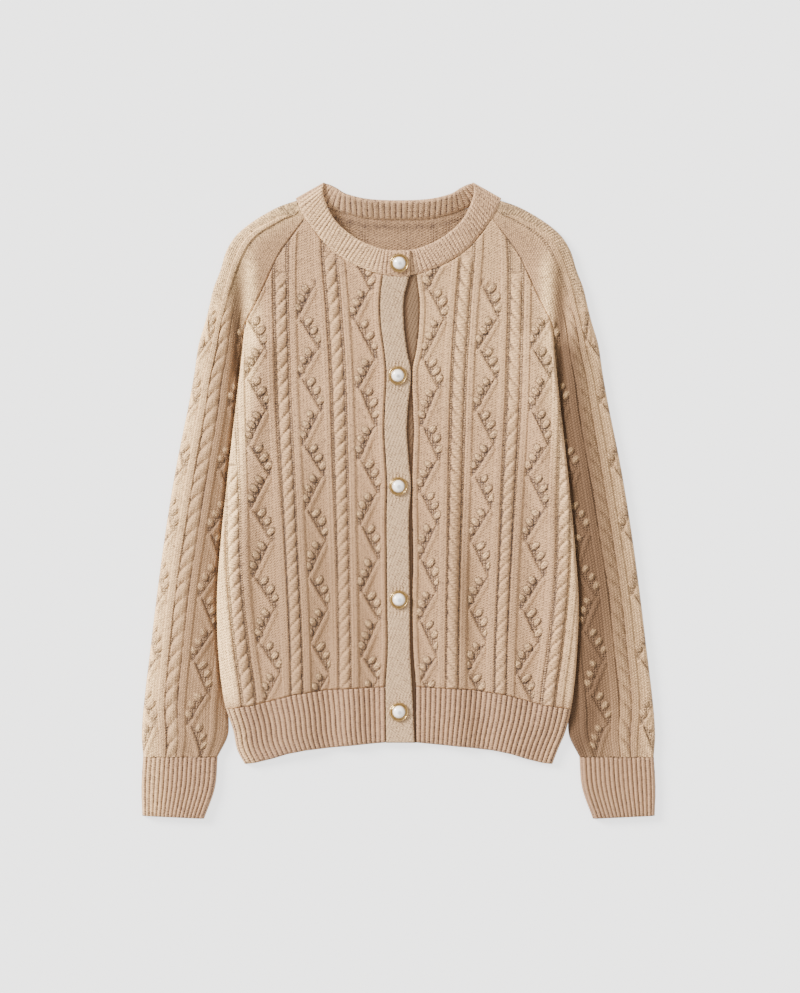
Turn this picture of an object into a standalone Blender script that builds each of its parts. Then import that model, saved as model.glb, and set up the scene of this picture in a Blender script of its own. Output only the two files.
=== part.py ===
"""A knitted button cardigan, laid flat with its front up.

Tables and sizes are in millimetres. x runs to the wearer's left, y towards the neck and
z up from the surface that the back rests on. Half widths are distances from the centre
line, and SIDES gives the sign of x: the wearer's right is -1 and the wearer's left is +1.
The body, the sleeves and the ribs are walls of knitted cloth: each is the space between
an upper and a lower surface that share one outline seen from above.
"""
import math
from collections import namedtuple

import bmesh
import bpy
from mathutils import Vector
from mathutils.geometry import delaunay_2d_cdt, intersect_point_line

MM = 0.001
MERGE_DISTANCE = 0.001
LENGTH_TOLERANCE = 1e-6
FILL_TOLERANCE = 1e-4
SIDES = {"right": -1, "left": 1}

# Layers
WALL = 2.4
SEAM_GAP = 0.3
LAYER_GAP = 2.0
FRONT_UNDER = WALL + LAYER_GAP
FRONT_TOP = FRONT_UNDER + WALL
LIP_UNDER = WALL + SEAM_GAP
BAND_STEP = WALL + SEAM_GAP

# Where the body lies over the sleeves, and where it rises towards the neck
SIDE_LIFT = 5.7
LAP_WIDTH = 22.0
LIFT_RAMP = 26.0
LIFT_TOP = 190.0
LIFT_TOP_RAMP = 22.0
LIFT_END = -275.0
LIFT_END_RAMP = 50.0
NECK_LIFT = 1.5
NECK_CENTRE_Y = 331.0
NECK_HALF_WIDTH = 112.0
NECK_DEPTH = 84.0
NECK_LIFT_REACH = 0.55
LAP_RISE_WIDTH = 14.0
SLEEVE_DIP = 1.5
SLEEVE_DIP_WIDTH = 18.0
SLEEVE_DIP_TOP = 188.0
SLEEVE_DIP_RAMP = 40.0
LAP_CLEARANCE = 0.9

# Rounding of an edge where the cloth turns under
EDGE_STEP = 1.2
EDGE_DROP = 1.3
EDGE_INSET = 4.0
EDGE_STEPS = 3
EDGE_CLEARANCE = 1.0
EDGE_MARGIN = 0.01
MITRE_LIMIT = 0.35
SEAM_SHARE = 0.999

# Spacing of the points that make an edge or a plain surface
EDGE_SPACING = 14.0
HIDDEN_SPACING = 32.0
BACK_HEM_SPACING = 20.0
BACK_HEM_EDGE_SPACING = 31.0
BACK_RAMP_SPACING = 28.0
BACK_RAGLAN_SPACING = 40.0

# Relief, measured outwards from the plain wall
GROUND = 0.5
RIDGE = 1.5
CREST = 1.4
BOBBLE = 2.7
BOBBLE_GAP = 0.5
STRAND_HIGH = 2.6
STRAND_LOW = 1.3
RIB_HEIGHT = 1.3
ZIGZAG_SWING = 8.8
BOBBLE_OFFSET = 7.7
BOBBLE_HALF = 3.4
BOBBLE_STEPS = 8
BOBBLE_ROOM = 1.0
ROPE_HALF = 2.9
ROPE_TURNS = 4
FEATURE_MARGIN = 1.8

# Body: half width at the right and left side edges, and the ropes' distances from the
# centre line
BodyRow = namedtuple("BodyRow", "y right_side left_side rope_1 rope_2 rope_3")
BODY = (
    BodyRow(-292.0, 168.0, 168.6, 58.9, 111.7, 160.0),
    BodyRow(-273.9, 177.7, 175.5, 58.9, 111.7, 162.0),
    BodyRow(-251.9, 182.0, 184.3, 58.9, 111.7, 163.0),
    BodyRow(-218.9, 192.0, 191.5, 58.9, 111.7, 164.5),
    BodyRow(-163.9, 198.4, 196.6, 59.3, 112.8, 172.2),
    BodyRow(-108.9, 199.7, 198.2, 60.1, 115.0, 178.2),
    BodyRow(-64.9, 197.4, 195.4, 61.0, 117.2, 181.0),
    BodyRow(1.1, 190.9, 189.6, 62.7, 120.5, 182.0),
    BodyRow(111.1, 178.4, 177.4, 66.0, 126.8, 185.6),
    BodyRow(163.0, 171.4, 171.3, 68.8, 128.0, 185.5),
    BodyRow(192.5, 169.5, 169.8, 70.4, 128.7, 185.4),
    BodyRow(221.1, 166.0, 166.0, 71.7, 129.3, 186.5),
    BodyRow(268.4, 160.0, 160.0, 75.8, 129.3, 186.5),
    BodyRow(311.0, 150.0, 150.0, 77.6, 126.2, 175.0),
)
ARMPIT_Y = 192.5

# Front opening: x of the right seam, of the free edge on top, and of the left seam
OpeningRow = namedtuple("OpeningRow", "y right_seam free_edge left_seam")
OPENING = (
    OpeningRow(-266.0, -14.2, 17.7, 19.3),
    OpeningRow(-206.0, -14.8, 15.0, 19.1),
    OpeningRow(-163.9, -12.3, 12.8, 16.0),
    OpeningRow(-108.9, -12.9, 12.4, 14.9),
    OpeningRow(-64.9, -13.2, 12.0, 16.0),
    OpeningRow(-15.4, -13.6, 11.6, 15.0),
    OpeningRow(16.5, -12.9, 13.7, 14.6),
    OpeningRow(45.1, -14.3, 11.3, 15.6),
    OpeningRow(75.9, -16.0, 9.2, 16.8),
    OpeningRow(100.1, -15.4, 10.1, 16.0),
    OpeningRow(140.8, -13.8, 13.7, 14.6),
    OpeningRow(166.1, -16.0, 9.3, 19.6),
    OpeningRow(193.6, -19.7, 6.0, 22.5),
    OpeningRow(221.1, -20.6, 5.7, 23.1),
    OpeningRow(247.0, -17.7, 11.6, 19.8),
)
UNDERLAP_EDGE = -9.0

# Outlines as half widths and heights
EdgePoint = namedtuple("EdgePoint", "half y")
FRONT_NECK = (
    EdgePoint(0.0, 246.4), EdgePoint(19.2, 249.0), EdgePoint(41.3, 256.5),
    EdgePoint(60.6, 266.2), EdgePoint(78.0, 279.4), EdgePoint(92.9, 297.0),
    EdgePoint(102.9, 310.9),
)
NECK_START_Y = 248.6
SHOULDER_END = (EdgePoint(102.9, 310.9), EdgePoint(109.5, 322.3), EdgePoint(112.2, 331.1))
BACK_NECK = (
    EdgePoint(112.2, 331.1), EdgePoint(99.6, 328.4), EdgePoint(80.9, 324.0),
    EdgePoint(57.8, 316.3), EdgePoint(32.9, 310.9), EdgePoint(0.0, 309.8),
)
RAGLAN = (
    EdgePoint(102.9, 310.9), EdgePoint(121.6, 286.0), EdgePoint(133.7, 268.4),
    EdgePoint(143.6, 246.4), EdgePoint(154.0, 225.0), EdgePoint(164.5, 205.0),
    EdgePoint(169.6, 192.5),
)
HEM_TOP = (
    EdgePoint(14.9, -204.6), EdgePoint(77.6, -207.9), EdgePoint(114.3, -213.4),
    EdgePoint(138.0, -219.7), EdgePoint(155.7, -224.4), EdgePoint(187.0, -229.0),
)
HEM_BOTTOM = (
    EdgePoint(9.4, -265.1), EdgePoint(75.9, -271.7), EdgePoint(102.4, -274.7),
    EdgePoint(122.1, -278.6), EdgePoint(138.0, -283.6), EdgePoint(157.4, -288.4),
    EdgePoint(168.6, -289.6),
)

# Sleeve: sections from the outer fold to the inner edge, from the neck to the cuff.
# rope is the rope's place across the section, and spread the size of the pattern there.
SleeveRow = namedtuple("SleeveRow", "fold_x fold_y inner_x inner_y rope spread")
SLEEVE = (
    SleeveRow(112.2, 331.1, 102.9, 310.9, 0.41, 0.45),
    SleeveRow(131.5, 324.5, 111.7, 299.0, 0.41, 0.55),
    SleeveRow(150.2, 314.6, 121.6, 286.0, 0.41, 0.65),
    SleeveRow(166.7, 303.6, 128.5, 277.0, 0.41, 0.72),
    SleeveRow(180.0, 291.5, 133.7, 268.4, 0.41, 0.78),
    SleeveRow(190.0, 275.0, 140.0, 254.0, 0.41, 0.78),
    SleeveRow(196.5, 254.1, 147.0, 239.0, 0.41, 0.78),
    SleeveRow(204.0, 234.3, 154.0, 225.0, 0.41, 0.80),
    SleeveRow(208.8, 214.0, 161.7, 210.0, 0.42, 0.84),
    SleeveRow(212.8, 198.0, 169.6, 192.5, 0.42, 0.90),
    SleeveRow(220.5, 171.6, 171.9, 166.1, 0.40, 0.94),
    SleeveRow(225.5, 138.6, 163.0, 133.1, 0.37, 0.96),
    SleeveRow(231.5, 105.6, 159.0, 100.1, 0.36, 0.98),
    SleeveRow(244.8, 39.6, 160.0, 34.1, 0.34, 1.0),
    SleeveRow(255.8, -26.4, 165.0, -31.9, 0.32, 1.0),
    SleeveRow(265.0, -92.4, 174.0, -97.9, 0.31, 1.0),
    SleeveRow(273.0, -158.4, 180.0, -163.9, 0.31, 1.0),
    SleeveRow(280.8, -224.4, 187.0, -227.7, 0.33, 0.98),
    SleeveRow(283.0, -257.4, 187.5, -257.4, 0.36, 0.92),
    SleeveRow(281.5, -281.6, 199.0, -281.6, 0.38, 0.80),
)
SLEEVE_ARMPIT_ROW = 9
BACK_RAGLAN_TOP = EdgePoint(86.0, 325.2)
CuffRow = namedtuple("CuffRow", "outer inner outer_y inner_y")
CUFF = (
    CuffRow(281.5, 199.0, -281.9, -281.9),
    CuffRow(283.2, 202.0, -315.0, -315.5),
    CuffRow(282.4, 214.0, -346.5, -349.8),
)
CUFF_RIBS = 14
CUFF_UNDER_SHARES = (0.97, 0.5, 0.03)
CuffHollow = namedtuple("CuffHollow", "share level")
CUFF_HOLLOW = (
    CuffHollow(0.0, 1.0), CuffHollow(0.5, 1.0), CuffHollow(1.0, 1.0),
    CuffHollow(1.0, 0.0), CuffHollow(0.5, 0.0), CuffHollow(0.0, 0.0),
)
HEM_RIBS = 29

# Turns of the zigzag: near the front opening or far from it, and the height of the turn
# in the first column and in the others
TurnRow = namedtuple("TurnRow", "near y_first y_other")
TURNS = (
    TurnRow(False, -232.1, -225.5),
    TurnRow(True, -198.6, -191.4),
    TurnRow(False, -172.7, -157.3),
    TurnRow(True, -132.6, -119.9),
    TurnRow(False, -101.5, -84.7),
    TurnRow(True, -65.5, -45.7),
    TurnRow(False, -27.8, -9.9),
    TurnRow(True, 8.0, 27.0),
    TurnRow(False, 44.0, 60.5),
    TurnRow(True, 81.4, 97.9),
    TurnRow(False, 123.0, 134.2),
    TurnRow(True, 154.6, 166.1),
    TurnRow(False, 198.2, 200.4),
    TurnRow(True, 231.0, 236.5),
    TurnRow(False, 262.9, 271.7),
    TurnRow(True, 297.0, 304.7),
)
SLEEVE_TURNS = 18

# Columns of the knitted pattern, as shares of the way from one rope to the next
ZoneRow = namedtuple("ZoneRow", "groove_in ridge_in foot_in zigzag foot_out ridge_out groove_out")
FIRST_ZONE = ZoneRow(0.02, 0.06, 0.12, 0.40, 0.70, 0.776, 0.872)
OTHER_ZONE = ZoneRow(0.115, 0.19, 0.26, 0.515, 0.75, 0.815, 0.89)

# Soft folds of the laid cloth: a line from its top to its bottom, with half its width
# and its height
FoldRow = namedtuple("FoldRow", "x_top y_top x_bottom y_bottom half height")
FOLDS = (
    FoldRow(-112.0, 130.0, -106.0, -275.0, 30.0, 1.6),
    FoldRow(-82.0, 80.0, -76.0, -275.0, 17.0, -1.2),
    FoldRow(-50.0, -40.0, -54.0, -275.0, 15.0, 1.2),
    FoldRow(52.0, 60.0, 66.0, -275.0, 16.0, 1.2),
    FoldRow(72.0, 90.0, 93.0, -275.0, 15.0, -1.2),
    FoldRow(108.0, 90.0, 121.0, -275.0, 26.0, 1.6),
)
FOLD_FADE = 70.0

# Neckband sections, from the front centre over the shoulder fold to the back centre:
# seam edge and free edge, with the height of the wall's middle at each
BandRow = namedtuple("BandRow", "seam_x seam_y seam_z free_x free_y free_z face")
NECKBAND = (
    BandRow(20.0, 249.3, 6.9, 15.5, 276.8, 8.0, 1),
    BandRow(41.3, 256.5, 7.0, 27.0, 280.0, 9.0, 1),
    BandRow(60.6, 266.2, 7.1, 45.3, 288.2, 10.4, 1),
    BandRow(78.0, 279.4, 7.1, 64.9, 303.3, 11.2, 1),
    BandRow(92.9, 297.0, 7.1, 75.8, 318.5, 11.4, 1),
    BandRow(102.9, 310.9, 7.1, 82.3, 335.5, 11.4, 1),
    BandRow(109.2, 321.6, 7.1, 82.9, 341.6, 11.2, 1),
    BandRow(111.0, 328.5, 6.6, 82.8, 346.4, 10.6, 0),
    BandRow(112.6, 332.4, 4.2, 81.9, 349.3, 9.0, 0),
    BandRow(110.0, 331.4, 1.8, 80.0, 348.9, 7.4, 0),
    BandRow(99.6, 328.6, 1.2, 76.5, 348.4, 7.0, -1),
    BandRow(80.9, 324.2, 1.2, 68.8, 344.4, 9.5, -1),
    BandRow(57.8, 316.5, 1.2, 57.8, 337.4, 12.6, -1),
    BandRow(32.9, 311.1, 1.2, 34.0, 331.6, 13.4, -1),
    BandRow(0.0, 310.0, 1.2, 0.0, 330.0, 13.6, -1),
)
BAND_RIBS_PER_SIDE = 47
BAND_RIB_HEIGHT = 0.9
OVERLAP_END = 13.0
OVERLAP_FLAT_MARKS = 6
OVERLAP_RAMP_START = 24.0
OVERLAP_RAMP = 34.0
UNDER_END = -11.0
NECK_FRONT_SEAM_Y = 246.8
NECK_FRONT_FREE_Y = 275.6
NECK_FRONT_SEAM_Z = 6.9
NECK_FRONT_FREE_Z = 8.0

# Buttons
ButtonRow = namedtuple("ButtonRow", "x y")
BUTTONS = (
    ButtonRow(0.8, 261.3), ButtonRow(-0.8, 138.0), ButtonRow(-0.1, 16.2),
    ButtonRow(0.5, -108.4), ButtonRow(0.5, -231.9),
)
ProfilePoint = namedtuple("ProfilePoint", "radius height")
RIM_PROFILE = (
    ProfilePoint(7.0, 0.0), ProfilePoint(9.9, 0.0), ProfilePoint(10.6, 0.9),
    ProfilePoint(10.5, 2.0), ProfilePoint(9.7, 2.7), ProfilePoint(8.6, 2.1),
    ProfilePoint(7.6, 2.4), ProfilePoint(7.0, 2.1),
)
PEARL_PROFILE = (
    ProfilePoint(0.0, 0.0), ProfilePoint(6.7, 0.0), ProfilePoint(6.7, 2.0),
    ProfilePoint(6.1, 3.6), ProfilePoint(4.6, 4.9), ProfilePoint(2.4, 5.6),
    ProfilePoint(0.0, 5.8),
)
BUTTON_SEGMENTS = 20

# Finishes
Finish = namedtuple("Finish", "colour roughness metallic")
FINISHES = {
    "knit": Finish((0.50, 0.35, 0.25), 0.92, 0.0),
    "rib": Finish((0.48, 0.33, 0.235), 0.92, 0.0),
    "band": Finish((0.52, 0.38, 0.28), 0.92, 0.0),
    "rim": Finish((0.80, 0.62, 0.34), 0.28, 1.0),
    "pearl": Finish((0.88, 0.85, 0.80), 0.22, 0.0),
}


def smooth(share):
    """Ease from 0 to 1."""
    share = min(max(share, 0.0), 1.0)
    return share * share * (3.0 - 2.0 * share)


def read(table, column, y):
    """A table's column at height y, on a smooth curve through its rows."""
    rows = table
    if y <= rows[0].y:
        return getattr(rows[0], column)
    if y >= rows[-1].y:
        return getattr(rows[-1], column)
    index = next(i for i in range(len(rows) - 1) if y <= rows[i + 1].y)
    low, high = rows[index], rows[index + 1]
    before = rows[max(index - 1, 0)]
    after = rows[min(index + 2, len(rows) - 1)]
    start, end = getattr(low, column), getattr(high, column)
    span = high.y - low.y
    slope_in = (end - getattr(before, column)) / (high.y - before.y) * span
    slope_out = (getattr(after, column) - start) / (after.y - low.y) * span
    t = (y - low.y) / span
    return ((2 * t ** 3 - 3 * t ** 2 + 1) * start + (t ** 3 - 2 * t ** 2 + t) * slope_in
            + (3 * t ** 2 - 2 * t ** 3) * end + (t ** 3 - t ** 2) * slope_out)


def read_straight(table, column, y):
    """A table's column at height y, on straight lines through its rows."""
    for low, high in zip(table, table[1:]):
        if y <= high.y:
            share = (y - low.y) / (high.y - low.y)
            return getattr(low, column) + share * (getattr(high, column) - getattr(low, column))
    return getattr(table[-1], column)


def body_side(side, y):
    """Half width of the body at height y, on one side."""
    return read(BODY, side + "_side", y)


def side_of(x):
    """Name of the side that x lies on."""
    return "left" if x > 0 else "right"


def side_lift(x, y):
    """How far the body rises over the sleeve at a point."""
    inside = body_side(side_of(x), y) - abs(x)
    across = 1.0 - smooth((inside - LAP_WIDTH) / LIFT_RAMP)
    below_armpit = smooth((LIFT_TOP - y) / LIFT_TOP_RAMP)
    above_hem = smooth((y - LIFT_END) / LIFT_END_RAMP)
    return SIDE_LIFT * across * below_armpit * above_hem


def neck_lift(x, y):
    """How far the front layer rises at a point towards the neck opening."""
    reach = math.hypot(x / NECK_HALF_WIDTH, (y - NECK_CENTRE_Y) / NECK_DEPTH)
    return NECK_LIFT * smooth(1.0 - (reach - 1.0) / NECK_LIFT_REACH)


def fold_lift(x, y):
    """Height of the soft folds of the front layer at a point."""
    lift = 0.0
    for fold in FOLDS:
        share = (y - fold.y_bottom) / (fold.y_top - fold.y_bottom)
        middle = fold.x_bottom + share * (fold.x_top - fold.x_bottom)
        across = (x - middle) / fold.half
        fade = smooth((fold.y_top - y) / FOLD_FADE)
        lift += fold.height * fade * math.exp(-across * across)
    return lift


def front_lift(x, y):
    """Total rise of the front layer at a point, without the step beside the opening."""
    return side_lift(x, y) + neck_lift(x, y) + fold_lift(x, y)


def lap_rise(x, y):
    """Rise of the right front beside its band, which lies on top of the other band."""
    seam = read(OPENING, "right_seam", y)
    return BAND_STEP * smooth((x - (seam - LAP_RISE_WIDTH)) / LAP_RISE_WIDTH)


def front_top(x, y):
    """Plain upper surface of the front layer."""
    rise = lap_rise(x, y) if x < 0 else 0.0
    return FRONT_TOP + front_lift(x, y) + rise


def front_under(x, y):
    """Lower surface of the front layer."""
    return front_top(x, y) - WALL


def back_under(x, y):
    """Lower surface of the back layer."""
    return side_lift(x, y)


def back_top(x, y):
    """Upper surface of the back layer."""
    return side_lift(x, y) + WALL


def edge_drop(inside):
    """Drop of the upper surface where the cloth turns under at an edge."""
    share = 1.0 - min(max(inside, 0.0) / EDGE_INSET, 1.0)
    return (FRONT_TOP - LIP_UNDER - EDGE_DROP) * share ** 3


def zone_columns(zone, start, end, turns, column):
    """Points of one pattern zone, as lists of (half width, y, relief).

    start and end give the half width at a height, where the zone begins and ends.
    """
    def line(share, height):
        points = []
        for turn in turns:
            y = getattr(turn, column)
            points.append((start(y) + share * (end(y) - start(y)), y, height))
        return points

    columns = [
        line(zone.groove_in, 0.0), line(zone.ridge_in, RIDGE), line(zone.foot_in, GROUND),
        line(zone.foot_out, GROUND), line(zone.ridge_out, RIDGE),
        line(zone.groove_out, 0.0),
    ]
    crest = []
    for turn in turns:
        y = getattr(turn, column)
        middle = start(y) + zone.zigzag * (end(y) - start(y))
        swing = -ZIGZAG_SWING if turn.near else ZIGZAG_SWING
        crest.append((middle + swing, y, CREST))
    columns.append(crest)
    for index in range(len(turns) - 1):
        columns += bobble_columns(zone, start, end, crest[index], crest[index + 1])
    return columns


def bobble_columns(zone, start, end, low, high):
    """Three bobbles on the upper side of one stretch of a zigzag line."""
    outward = 1.0 if high[0] < low[0] else -1.0
    bobbles, inner, outer = [], [], []
    for step in range(1, BOBBLE_STEPS):
        share = step / BOBBLE_STEPS
        y = low[1] + share * (high[1] - low[1])
        crest = low[0] + share * (high[0] - low[0])
        limit = zone.foot_out if outward > 0 else zone.foot_in
        foot = start(y) + limit * (end(y) - start(y))
        room = abs(foot - crest) - BOBBLE_ROOM
        on_bobble = step % 2 == 0
        height = BOBBLE if on_bobble else BOBBLE_GAP
        place = min(BOBBLE_OFFSET, room)
        bobbles.append((crest + outward * place, y, height))
        if on_bobble:
            inner.append((crest + outward * (place - BOBBLE_HALF), y, GROUND))
            if room > place + BOBBLE_HALF:
                outer.append((crest + outward * (place + BOBBLE_HALF), y, GROUND))
    return [bobbles, inner, outer]


def rope_columns(place, turns):
    """The two strands of a rope, which rise in turn, as lists of points."""
    strands = []
    for sign in (-1, 1):
        points = []
        for low, high in zip(turns, turns[1:]):
            for step in range(ROPE_TURNS):
                share = (step + 0.5) / ROPE_TURNS
                y = low.y_other + share * (high.y_other - low.y_other)
                high_now = (step % 2 == 0) == (sign > 0)
                points.append((place(y) + sign * ROPE_HALF, y,
                               STRAND_HIGH if high_now else STRAND_LOW))
        strands.append(points)
    return strands


def front_pattern(side):
    """All raised columns of one front, as (x, y, relief) points."""
    sign = SIDES[side]
    seam = side + "_seam"

    def opening(y):
        return abs(read(OPENING, seam, y))

    def rope_1(y):
        return read(BODY, "rope_1", y)

    def rope_2(y):
        return read(BODY, "rope_2", y)

    def rope_3(y):
        return read(BODY, "rope_3", y)

    columns = zone_columns(FIRST_ZONE, opening, rope_1, TURNS, "y_first")
    columns += zone_columns(OTHER_ZONE, rope_1, rope_2, TURNS, "y_other")
    columns += zone_columns(OTHER_ZONE, rope_2, rope_3, TURNS, "y_other")
    for rope in (rope_1, rope_2, rope_3):
        columns += rope_columns(rope, TURNS)
    return [[(sign * half, y, height) for half, y, height in column] for column in columns]


def sleeve_section(position):
    """Sleeve table values at a position counted in rows from the neck."""
    index = min(int(position), len(SLEEVE) - 2)
    low, high = SLEEVE[index], SLEEVE[index + 1]
    share = position - index
    return SleeveRow(*(a + share * (b - a) for a, b in zip(low, high)))


def sleeve_length_stations(count):
    """Positions in the sleeve table that are evenly spaced along its middle."""
    middles = [Vector(((row.fold_x + row.inner_x) / 2, (row.fold_y + row.inner_y) / 2))
               for row in SLEEVE]
    lengths = [0.0]
    for low, high in zip(middles, middles[1:]):
        lengths.append(lengths[-1] + (high - low).length)
    stations = []
    for step in range(count + 1):
        wanted = lengths[-1] * step / count
        index = next(i for i in range(len(lengths) - 1) if wanted <= lengths[i + 1] + LENGTH_TOLERANCE)
        stations.append(index + (wanted - lengths[index]) / (lengths[index + 1] - lengths[index]))
    return stations


# Across the sleeve, as offsets from its rope at full spread, towards the inner edge
SleeveColumn = namedtuple("SleeveColumn", "offset relief")
SLEEVE_LINES = (
    SleeveColumn(-14.3, GROUND), SleeveColumn(-13.0, RIDGE), SleeveColumn(-8.0, 0.0),
    SleeveColumn(8.0, 0.0), SleeveColumn(13.0, RIDGE), SleeveColumn(17.5, GROUND),
    SleeveColumn(44.0, GROUND), SleeveColumn(48.0, RIDGE),
)
SLEEVE_ZIGZAG = 30.5


def sleeve_point(position, offset):
    """Plan point of the sleeve at a row position and a distance inwards from its rope."""
    row = sleeve_section(position)
    fold = Vector((row.fold_x, row.fold_y))
    inner = Vector((row.inner_x, row.inner_y))
    rope = fold.lerp(inner, row.rope)
    return rope + (inner - fold).normalized() * offset * row.spread


def sleeve_pattern():
    """Raised columns of a sleeve, as (half width, y, relief) points."""
    stations = sleeve_length_stations(SLEEVE_TURNS)
    fine = sleeve_length_stations(SLEEVE_TURNS * BOBBLE_STEPS)
    columns = []
    for line in SLEEVE_LINES:
        columns.append([(*sleeve_point(s, line.offset), line.relief) for s in stations])
    for middle in (-SLEEVE_ZIGZAG, SLEEVE_ZIGZAG):
        inwards = 1.0 if middle > 0 else -1.0
        crest = []
        for index, station in enumerate(stations):
            swing = ZIGZAG_SWING if index % 2 == 0 else -ZIGZAG_SWING
            crest.append((*sleeve_point(station, middle + inwards * swing), CREST))
        columns.append(crest)
        for index in range(SLEEVE_TURNS):
            start = inwards * (ZIGZAG_SWING if index % 2 == 0 else -ZIGZAG_SWING)
            upper = 1.0 if start < 0 else -1.0
            bobbles, flank_in, flank_out = [], [], []
            for step in range(1, BOBBLE_STEPS):
                station = fine[index * BOBBLE_STEPS + step]
                line = middle + start * (1.0 - 2.0 * step / BOBBLE_STEPS)
                on_bobble = step % 2 == 0
                height = BOBBLE if on_bobble else BOBBLE_GAP
                place = line + upper * BOBBLE_OFFSET
                bobbles.append((*sleeve_point(station, place), height))
                if on_bobble:
                    near = place - upper * BOBBLE_HALF
                    far = place + upper * BOBBLE_HALF
                    flank_in.append((*sleeve_point(station, near), GROUND))
                    flank_out.append((*sleeve_point(station, far), GROUND))
            columns += [bobbles, flank_in, flank_out]
    for sign in (-1, 1):
        strand = []
        for index, station in enumerate(fine[1::2]):
            high_now = (index % 2 == 0) == (sign > 0)
            strand.append((*sleeve_point(station, sign * ROPE_HALF),
                           STRAND_HIGH if high_now else STRAND_LOW))
        columns.append(strand)
    return columns


def smooth_line(points, spacing):
    """Points along a polyline, no further apart than the spacing, its corners kept."""
    line = [Vector(points[0][:2])]
    for low, high in zip(points, points[1:]):
        low, high = Vector(low[:2]), Vector(high[:2])
        count = max(1, math.ceil((high - low).length / spacing))
        for step in range(1, count + 1):
            line.append(low.lerp(high, step / count))
    return line


def inset_loop(points, amount):
    """A closed plan outline, counter-clockwise, moved inwards by an amount."""
    moved = []
    count = len(points)
    for index, point in enumerate(points):
        before = (point - points[index - 1]).normalized()
        after = (points[(index + 1) % count] - point).normalized()
        normal_in = Vector((-before.y, before.x))
        normal_out = Vector((-after.y, after.x))
        mitre = normal_in + normal_out
        mitre /= max(1.0 + normal_in.dot(normal_out), MITRE_LIMIT)
        moved.append(point + mitre * amount)
    return moved


def counter_clockwise(points):
    """The outline with its points in counter-clockwise order."""
    area = sum(a.x * b.y - b.x * a.y for a, b in zip(points, points[1:] + points[:1]))
    return points if area > 0 else list(reversed(points))


def distance_to_edge(point, start, end):
    """Distance in plan from a point to a straight edge."""
    share = intersect_point_line(point.to_3d(), start.to_3d(), end.to_3d())[1]
    return (start.lerp(end, min(max(share, 0.0), 1.0)) - point).length


def inside_outline(point, outline, margin):
    """Whether a plan point is inside an outline, at least a margin from its edges."""
    inside = False
    for a, b in zip(outline, outline[1:] + outline[:1]):
        if distance_to_edge(point, a, b) < margin:
            return False
        if (a.y > point.y) != (b.y > point.y):
            cross = (b.x - a.x) * (point.y - a.y) / (b.y - a.y) + a.x
            if point.x < cross:
                inside = not inside
    return inside


def surface(mesh, outline, heights, columns, plain, flip):
    """Add a surface over an outline to a mesh, with raised columns inside it.

    heights holds the height of each outline point, and plain gives the height under the
    relief. Returns the outline's vertices in order.
    """
    points = list(outline)
    levels = list(heights)
    edges = []
    for column in columns:
        previous = None
        for x, y, relief in column:
            point = Vector((x, y))
            if not inside_outline(point, outline, FEATURE_MARGIN):
                previous = None
                continue
            points.append(point)
            levels.append(plain(x, y) + relief)
            if previous is not None:
                edges.append((previous, len(points) - 1))
            previous = len(points) - 1
    rim = list(range(len(outline)))
    found, _, faces, origins, _, _ = delaunay_2d_cdt(points, edges, [rim], 1, FILL_TOLERANCE)
    vertices = []
    made = {}
    for place, sources in zip(found, origins):
        if sources:
            level = levels[sources[0]]
        else:
            level = plain(place.x, place.y)
        vertex = mesh.verts.new((place.x, place.y, level))
        vertices.append(vertex)
        for source in sources:
            made[source] = vertex
    for face in faces:
        corners = [vertices[i] for i in face]
        mesh.faces.new(reversed(corners) if flip else corners)
    return [made[i] for i in rim]


def join_rims(mesh, upper, lower):
    """Join two rows of vertices that match one to one."""
    for index in range(len(upper) - 1):
        mesh.faces.new((upper[index], lower[index], lower[index + 1], upper[index + 1]))


def grid_points(outline, spacing):
    """A coarse set of plan points inside an outline, as single-point columns."""
    xs = [p.x for p in outline]
    ys = [p.y for p in outline]
    columns = []
    x = math.ceil(min(xs) / spacing) * spacing
    while x < max(xs):
        y = math.ceil(min(ys) / spacing) * spacing
        while y < max(ys):
            columns.append([(x, y, 0.0)])
            y += spacing
        x += spacing
    return columns


def make_object(name, mesh, finish):
    """An object from a mesh in millimetres, with its own material."""
    bmesh.ops.remove_doubles(mesh, verts=mesh.verts, dist=MERGE_DISTANCE)
    bmesh.ops.triangulate(mesh, faces=mesh.faces)
    bmesh.ops.recalc_face_normals(mesh, faces=mesh.faces)
    bmesh.ops.scale(mesh, vec=(MM, MM, MM), verts=mesh.verts)
    data = bpy.data.meshes.new(name)
    mesh.to_mesh(data)
    mesh.free()
    material = bpy.data.materials.new(name)
    material.use_nodes = True
    shader = material.node_tree.nodes["Principled BSDF"]
    values = FINISHES[finish]
    shader.inputs["Base Color"].default_value = (*values.colour, 1.0)
    shader.inputs["Roughness"].default_value = values.roughness
    shader.inputs["Metallic"].default_value = values.metallic
    data.materials.append(material)
    piece = bpy.data.objects.new(name, data)
    bpy.context.scene.collection.objects.link(piece)
    return piece


def side_line(side, y_from, y_to, spacing):
    """Points down the body's side edge between two heights."""
    count = max(1, math.ceil(abs(y_to - y_from) / spacing))
    heights = [y_from + (y_to - y_from) * step / count for step in range(count + 1)]
    return [Vector((body_side(side, y), y)) for y in heights]


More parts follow.
